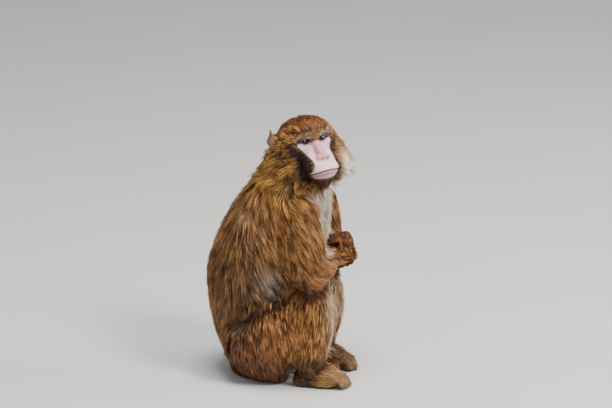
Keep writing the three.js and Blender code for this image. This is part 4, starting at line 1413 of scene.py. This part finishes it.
@dataclass(frozen=True)
class SkinFinish:
    """Living skin: pale and freckled on the face, dark on hands and feet, and elsewhere the fur's colour
    darkened as painted shade under the coat, with painted shade in nostrils, mouth and creases.

    Fine creases and pores break up a soft, slightly oily gloss.
    """

    name: str = "skin"
    roughness: float = 0.5
    ior: float = 1.4
    pore_mm: float = 0.8
    pore_depth: float = 0.0004
    pore_strength: float = 0.35
    freckle_mm: float = 3.4
    blotch_scale: float = 70.0
    under_fur_shade: float = 0.36
    under_fur_shade_spread: float = 0.12
    glow: float = 0.05
    glow_depth: float = 0.003

    def make(self) -> bpy.types.Material:
        """Builds the material.

        Returns:
            The skin's material.
        """
        material, tree = empty_material(self.name)
        marks = mark_sockets(tree)
        where = add_node(tree, "ShaderNodeTexCoord").outputs["Object"]
        mottle = add_node(tree, "ShaderNodeTexNoise", {
            "Vector": where, "Scale": 1 / (self.freckle_mm * MM), "Detail": 4.0, "Roughness": 0.6,
        }).outputs[0]
        # Painted shade: skin under the coat takes the fur's colour from low on the dark root end of the ramp.
        low, high = self.under_fur_shade - self.under_fur_shade_spread, self.under_fur_shade + self.under_fur_shade_spread
        fur = coat_colour(tree, marks, ranged(tree, mottle, 0.3, 0.7, low, high))
        spots = ranged(tree, mottle, 0.5, 0.68)
        patches = add_node(tree, "ShaderNodeTexNoise", {"Vector": where, "Scale": self.blotch_scale})
        blotch = ranged(tree, patches.outputs[0], 0.4, 0.65, to_high=0.45)
        nose = blend(tree, spots, linear(COLOURS["rosy"]), linear(COLOURS["freckle"]))
        face = blend(tree, blotch, linear(COLOURS["pink"]), linear(COLOURS["rosy"]))
        # The lilac tint is partly painted shade under the eyes and on the lower cheeks.
        face = blend(tree, marks["lilac_shade"], face, linear(COLOURS["lilac_shade"]))
        face = blend(tree, marks["rosy"], face, nose)
        skin = blend(tree, marks["pink"], linear(COLOURS["bare_hand"]), face)
        colour = blend(tree, marks["bare"], fur, skin)
        for name in ("lid", "lip"):
            colour = blend(tree, marks[name], colour, linear(COLOURS[name]))
        # Painted shade in the nostrils, along the mouth and in the creases and folds.
        colour = blend(tree, marks["shade"], colour, linear(COLOURS["painted_shade"]))
        pores = add_node(tree, "ShaderNodeTexVoronoi", {"Vector": where, "Scale": 1 / (self.pore_mm * MM)})
        bump = add_node(tree, "ShaderNodeBump", {
            "Height": pores.outputs["Distance"], "Strength": self.pore_strength, "Distance": self.pore_depth,
        })
        add_shader(tree, {
            "Base Color": colour, "Roughness": self.roughness, "IOR": self.ior,
            "Normal": bump.outputs[0], "Subsurface Weight": self.glow, "Subsurface Scale": self.glow_depth,
        })
        return material


@dataclass(frozen=True)
class EyeFinish:
    """Wet eye: dark pupil, amber-brown iris with radial fibres, dark rim and brown white of the eye."""

    name: str = "wet_eye"
    roughness: float = 0.12
    ior: float = 1.38
    film: float = 0.3
    film_roughness: float = 0.05
    fibre_scale: float = 26.0
    fibre_share: float = 0.35
    # Colour at each share of the way out from the middle of the pupil; the iris darkens outward, partly its
    # own tone and partly painted shade of its hollow.
    stops: tuple = (
        (0.0, "#050404"), (0.22, "#070504"), (0.25, "#5A3312"), (0.42, "#351C0A"),
        (0.5, "#0E0805"), (0.58, "#1E1512"), (1.0, "#3A2C28"),
    )

    def make(self) -> bpy.types.Material:
        """Builds the material.

        Returns:
            The eye's material.
        """
        material, tree = empty_material(self.name)
        gaze = add_node(tree, "ShaderNodeAttribute", attribute_name="gaze")
        parts = add_node(tree, "ShaderNodeSeparateColor", {"Color": gaze.outputs["Color"]})
        fibre = add_node(tree, "ShaderNodeTexNoise", {
            "W": parts.outputs[1], "Scale": self.fibre_scale,
        }, noise_dimensions="1D")
        ramp = add_node(tree, "ShaderNodeValToRGB", {"Fac": parts.outputs[0]})
        for place, _ in self.stops[2:]:
            ramp.color_ramp.elements.new(place)
        for element, (place, colour) in zip(ramp.color_ramp.elements, self.stops):
            element.position = place
            element.color = linear(colour)
        varied = add_node(tree, "ShaderNodeMix", {
            0: self.fibre_share, 6: ramp.outputs[0], 7: fibre.outputs[0],
        }, data_type="RGBA", blend_type="OVERLAY")
        add_shader(tree, {
            "Base Color": varied.outputs[2], "Roughness": self.roughness, "IOR": self.ior,
            "Coat Weight": self.film, "Coat Roughness": self.film_roughness,
        })
        return material


# ---------------------------------------------------------------- eyes


@dataclass
class Eyes:
    """The two eyeballs, each with a raised cornea, turned to where the animal looks."""

    pose: Pose
    radius: float = 10.0
    cornea: float = 0.9
    cornea_angle: float = 0.62
    gaze: tuple = (-0.2, -1.0, 0.02)
    gaze_span: float = 1.3
    rings: int = 36
    spokes: int = 48

    def build(self, material: bpy.types.Material) -> None:
        """Makes both eyes.

        Args:
            material: the eye's finish.
        """
        for side, sign in (("left", 1), ("right", -1)):
            centre = self.pose.from_head(np.array([(sign * self.pose.eye[0], *self.pose.eye[1:])]))[0]
            points, triangles, angle, around = self.ball()
            axis = unit(self.pose.turn @ unit(np.array(self.gaze, float)))
            first = unit(np.cross(axis, (0, 0, 1)))
            second = np.cross(axis, first)
            basis = np.stack([first, second, axis])
            piece = mesh_from("eyeball_" + side, points @ basis + centre, triangles)
            give_values(piece, "gaze", np.stack([angle, around], axis=1))
            finish_piece(piece, material)
            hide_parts("eye_" + side)

    def ball(self) -> tuple[np.ndarray, np.ndarray, np.ndarray, np.ndarray]:
        """One eyeball that looks along its own +Z.

        Returns:
            Points, triangles, the share of the angle from the front, and the turn round it.
        """
        angles = np.linspace(0, math.pi, self.rings + 1)[1:-1]
        turns = np.arange(self.spokes) * 2 * math.pi / self.spokes
        a, t = np.meshgrid(angles, turns, indexing="ij")
        reach = self.radius + self.cornea * ease(self.cornea_angle, 0.0, a)
        level = reach * np.sin(a)
        points = np.stack([level * np.cos(t), level * np.sin(t), reach * np.cos(a)], axis=-1)
        ends = [(0, 0, self.radius + self.cornea), (0, 0, -self.radius)]
        points = np.concatenate([points.reshape(-1, 3), ends])
        number = np.arange(len(angles) * self.spokes).reshape(len(angles), self.spokes)
        after = np.roll(number, -1, axis=1)
        faces = [
            np.stack([number[:-1], number[1:], after[1:]], axis=-1).reshape(-1, 3),
            np.stack([number[:-1], after[1:], after[:-1]], axis=-1).reshape(-1, 3),
        ]
        front, back = len(points) - 2, len(points) - 1
        faces.append(np.stack([np.full(self.spokes, front), number[0], after[0]], axis=-1))
        faces.append(np.stack([np.full(self.spokes, back), after[-1], number[-1]], axis=-1))
        share = np.append(a.ravel(), (0, math.pi)) / self.gaze_span
        around = np.append(t.ravel(), (0, 0)) / (2 * math.pi)
        return points, np.concatenate(faces), np.clip(share, 0, 1), around


# ---------------------------------------------------------------- nails


@dataclass
class Nails:
    """Flat dark nails, one at the end of each finger and toe, laid on the skin."""

    pose: Pose
    skin: Skin
    palm: tuple = (48.0, 36.0)
    sole: tuple = (82.0, 50.0)
    finger: float = 42.0
    thumb: float = 26.0
    toe: float = 36.0
    hand_bends: dict = field(default_factory=lambda: {
        "right": ((14, 26, 24), (20, 20, 10)), "left": ((74, 24, 12), (34, 24, 10)),
    })
    toe_bends: tuple = ((10, 34, 30), (0, 8, 8))
    joint_shares: tuple = (0.42, 0.32, 0.26)
    finger_shares: tuple = (0.9, 1.0, 0.96, 0.8)
    toe_shares: tuple = (0.86, 1.0, 0.97, 0.84)
    reach: float = 9.0
    girths: tuple = (6.2, 8.4)
    half_angle: float = 0.85
    length: float = 7.5
    grid: tuple = (6, 7)

    def build(self, material: bpy.types.Material) -> None:
        """Makes the nails of each hand and foot as one piece.

        Args:
            material: the nail's finish.
        """
        tree = BVHTree.FromPolygons(self.skin.surface.points.tolist(), self.skin.surface.triangles.tolist())
        hand_up = {"right": (-0.3, -0.3, 1.0), "left": (0.3, -1.0, 0.1)}
        for side, mirror in (("right", 1), ("left", -1)):
            places = (
                ("hand", "wrist", self.pose.hand_heading[side], hand_up[side],
                 self.hand(mirror, *self.hand_bends[side])),
                ("foot", "heel", self.pose.foot_heading[side], (0, 0, 1), self.foot(mirror)),
            )
            for name, joint, heading, up, digits in places:
                origin = self.pose.joint(side, joint)
                back = -unit(np.array(heading, float))
                across_it = unit(np.cross(back, up))
                basis = np.stack([across_it, back, np.cross(across_it, back)])
                points, triangles = [], []
                for joints in digits:
                    plate, faces = self.plate(joints @ basis + origin, basis[2], tree)
                    triangles.append(faces + sum(map(len, points)))
                    points.append(plate)
                title = "nails_" + name + "_" + side
                piece = mesh_from(title, np.concatenate(points), np.concatenate(triangles))
                finish_piece(piece, material)

    def digit(self, root: tuple, heading: float, length: float, bends: tuple) -> np.ndarray:
        """The last two joints of a digit in its hand's own frame."""
        points, pitch = [np.array(root, float)], 0.0
        for share, bend in zip(self.joint_shares, bends):
            pitch += math.radians(bend)
            flat = math.cos(pitch)
            way = (math.sin(heading) * flat, -math.cos(heading) * flat, -math.sin(pitch))
            points.append(points[-1] + share * length * np.array(way))
        return np.array(points[-2:])

    def hand(self, mirror: int, bends: tuple, thumb_bends: tuple) -> list[np.ndarray]:
        """Ends of the four fingers and the thumb."""
        long, broad = self.palm
        digits = []
        for i, share in enumerate(self.finger_shares):
            side = (1.5 - i) / 3
            root = (mirror * side * (broad - 2 * self.girths[0]), -long * (0.88 - 0.05 * abs(i - 1)), 0)
            digits.append(self.digit(root, mirror * side * 0.16, self.finger * share, bends))
        root = (mirror * broad * 0.42, -long * 0.42, -3)
        digits.append(self.digit(root, mirror * 0.75, self.thumb, thumb_bends))
        return digits

    def foot(self, mirror: int) -> list[np.ndarray]:
        """Ends of the four toes and the big toe."""
        long, broad = self.sole
        digits = []
        for i, share in enumerate(self.toe_shares):
            side = (1.5 - i) / 3
            root = (mirror * side * (broad - 2 * self.girths[1]), -long * (1.04 - 0.04 * abs(i - 1)), 25)
            digits.append(self.digit(root, mirror * side * 0.2, self.toe * share, self.toe_bends[0]))
        root = (mirror * broad * 0.38, -long * 0.7, 11)
        digits.append(self.digit(root, mirror * 0.5, self.toe * 0.82, self.toe_bends[1]))
        return digits

    def plate(self, joints: np.ndarray, up: np.ndarray, tree: BVHTree) -> tuple[np.ndarray, np.ndarray]:
        """One nail: a closed curved plate that follows the skin of the digit's end.

        Args:
            joints: the last two joints of the digit, in the part's frame.
            up: the back of the hand or foot.
            tree: the skin.

        Returns:
            Points and triangles.
        """
        way = unit(joints[1] - joints[0])
        up = unit(across(up, way))
        side = np.cross(way, up)
        columns, rows = self.grid
        angle = np.linspace(-self.half_angle, self.half_angle, columns)
        along = np.linspace(-self.length * 0.45, self.length * 0.75, rows)
        a, t = (grid.ravel() for grid in np.meshgrid(angle, along))
        narrow = np.sqrt(np.clip(1 - (np.abs(t) / (self.length * 0.9)) ** 2, 0.15, 1))
        a = a * narrow
        outward = np.cos(a)[:, None] * up + np.sin(a)[:, None] * side
        aim = joints[1] + t[:, None] * way + self.reach * outward
        found = [tree.find_nearest(p)[:2] for p in aim.tolist()]
        place, out = (np.array([hit[i] for hit in found]) for i in range(2))
        tip = ease(0.5 * self.length, 0.75 * self.length, t)[:, None]
        edge = ease(0.75, 1.0, np.abs(a / (self.half_angle * narrow)))[:, None]
        low = place + out * 0.1 + way * tip * 0.8
        high = place + out * (0.9 - 0.5 * edge) + way * tip * 1.6
        number = np.arange(rows * columns).reshape(rows, columns)
        a, b = number[:-1, :-1].ravel(), number[:-1, 1:].ravel()
        c, d = number[1:, 1:].ravel(), number[1:, :-1].ravel()
        top = np.concatenate([np.stack([a, b, c], 1), np.stack([a, c, d], 1)])
        rim = np.concatenate([number[0, :-1], number[:-1, -1], number[-1, :0:-1], number[:0:-1, 0]])
        after, count = np.roll(rim, -1), rows * columns
        walls = ([after, rim, rim + count], [after, rim + count, after + count])
        wall = np.concatenate([np.stack(corners, 1) for corners in walls])
        return np.concatenate([high, low]), np.concatenate([top, top[:, ::-1] + count, wall])


@dataclass(frozen=True)
class NailFinish:
    """Keratin nail: dark brown, smooth along its length, with a dull gloss."""

    name: str = "nail"
    roughness: float = 0.35
    ior: float = 1.54
    grain_scale: float = 400.0
    dark: str = "#2E2420"
    light: str = "#5C4A40"

    def make(self) -> bpy.types.Material:
        """Builds the material.

        Returns:
            The nail's material.
        """
        material, tree = empty_material(self.name)
        where = add_node(tree, "ShaderNodeTexCoord").outputs["Object"]
        grain = add_node(tree, "ShaderNodeTexNoise", {"Vector": where, "Scale": self.grain_scale})
        colour = blend(tree, grain.outputs[0], linear(self.dark), linear(self.light))
        add_shader(tree, {"Base Color": colour, "Roughness": self.roughness, "IOR": self.ior})
        return material


# ---------------------------------------------------------------- studio


@dataclass
class Studio:
    """Plain pale floor, soft light and the camera."""

    azimuth: float = 285.0
    elevation: float = 17.0
    distance: float = 6.0
    target: tuple = (0.0328, -0.0374, 0.3460)
    frame_width: float = 1.224
    sensor: float = 36.0
    view_depth: float = 200.0
    floor_half: float = 40000.0
    sky: float = 0.5
    aim: tuple = (0.0, 0.0, 0.28)

    def build(self) -> None:
        """Places everything that isn't the model."""
        self.floor()
        self.lights()
        self.camera()

    def camera(self) -> None:
        """Sets the camera on its target."""
        a, e = math.radians(self.azimuth), math.radians(self.elevation)
        back = Vector((math.sin(a) * math.cos(e), -math.cos(a) * math.cos(e), math.sin(e)))
        data = bpy.data.cameras.new("camera")
        data.sensor_width = self.sensor
        data.lens = self.sensor * self.distance / self.frame_width
        data.clip_end = self.view_depth
        made = bpy.data.objects.new("camera", data)
        made.location = Vector(self.target) + back * self.distance
        made.rotation_euler = back.to_track_quat("Z", "Y").to_euler()
        bpy.context.scene.collection.objects.link(made)
        bpy.context.scene.camera = made

    def floor(self) -> None:
        """A wide matt floor of pale plaster."""
        size = self.floor_half
        corners = np.array([(-size, -size, 0), (size, -size, 0), (size, size, 0), (-size, size, 0)])
        piece = mesh_from("floor", corners, np.array([(0, 1, 2), (0, 2, 3)]))
        material, tree = empty_material("pale_plaster")
        where = add_node(tree, "ShaderNodeTexCoord")
        grain = add_node(tree, "ShaderNodeTexNoise", {"Vector": where.outputs["Object"], "Scale": 3.0})
        colour = blend(tree, grain.outputs[0], linear("#D2CFC9"), linear("#D9D6D1"))
        add_shader(tree, {"Base Color": colour, "Roughness": 0.85})
        piece.data.materials.append(material)

    def lights(self) -> None:
        """A soft key from the front right, a faint fill, a front light, a top light and a pale sky."""
        world = bpy.data.worlds.new("studio")
        world.use_nodes = True
        background = world.node_tree.nodes["Background"]
        background.inputs["Color"].default_value = linear("#E6E9EE")
        background.inputs["Strength"].default_value = self.sky
        bpy.context.scene.world = world
        for name, place, power, size in (
            ("key", (-1.2, -2.6, 3.3), 152, 1.0),
            ("fill", (-3.2, 1.6, 2.0), 12, 2.0),
            ("front", (1.2, -3.6, 1.4), 88, 1.6),
            ("top", (-0.5, -0.1, 3.6), 115, 1.4),
        ):
            data = bpy.data.lights.new(name, "AREA")
            data.energy = power
            data.size = size
            made = bpy.data.objects.new(name, data)
            made.location = place
            back = Vector(place) - Vector(self.aim)
            made.rotation_euler = back.to_track_quat("Z", "Y").to_euler()
            bpy.context.scene.collection.objects.link(made)


# ---------------------------------------------------------------- main


def main() -> None:
    """Builds the whole model in order."""
    logging.basicConfig(level=logging.INFO, format="%(message)s")
    Studio().build()
    pose = Pose()
    face = Face(pose)
    marks = Marks(pose, face)
    skin = Skin(pose, face, marks)
    skin.build()
    skin.dress(SkinFinish().make())
    Eyes(pose).build(EyeFinish().make())
    Nails(pose, skin).build(NailFinish().make())
    Coat(pose, skin).build(HairFinish().make())


if __name__ == "__main__":
    main()
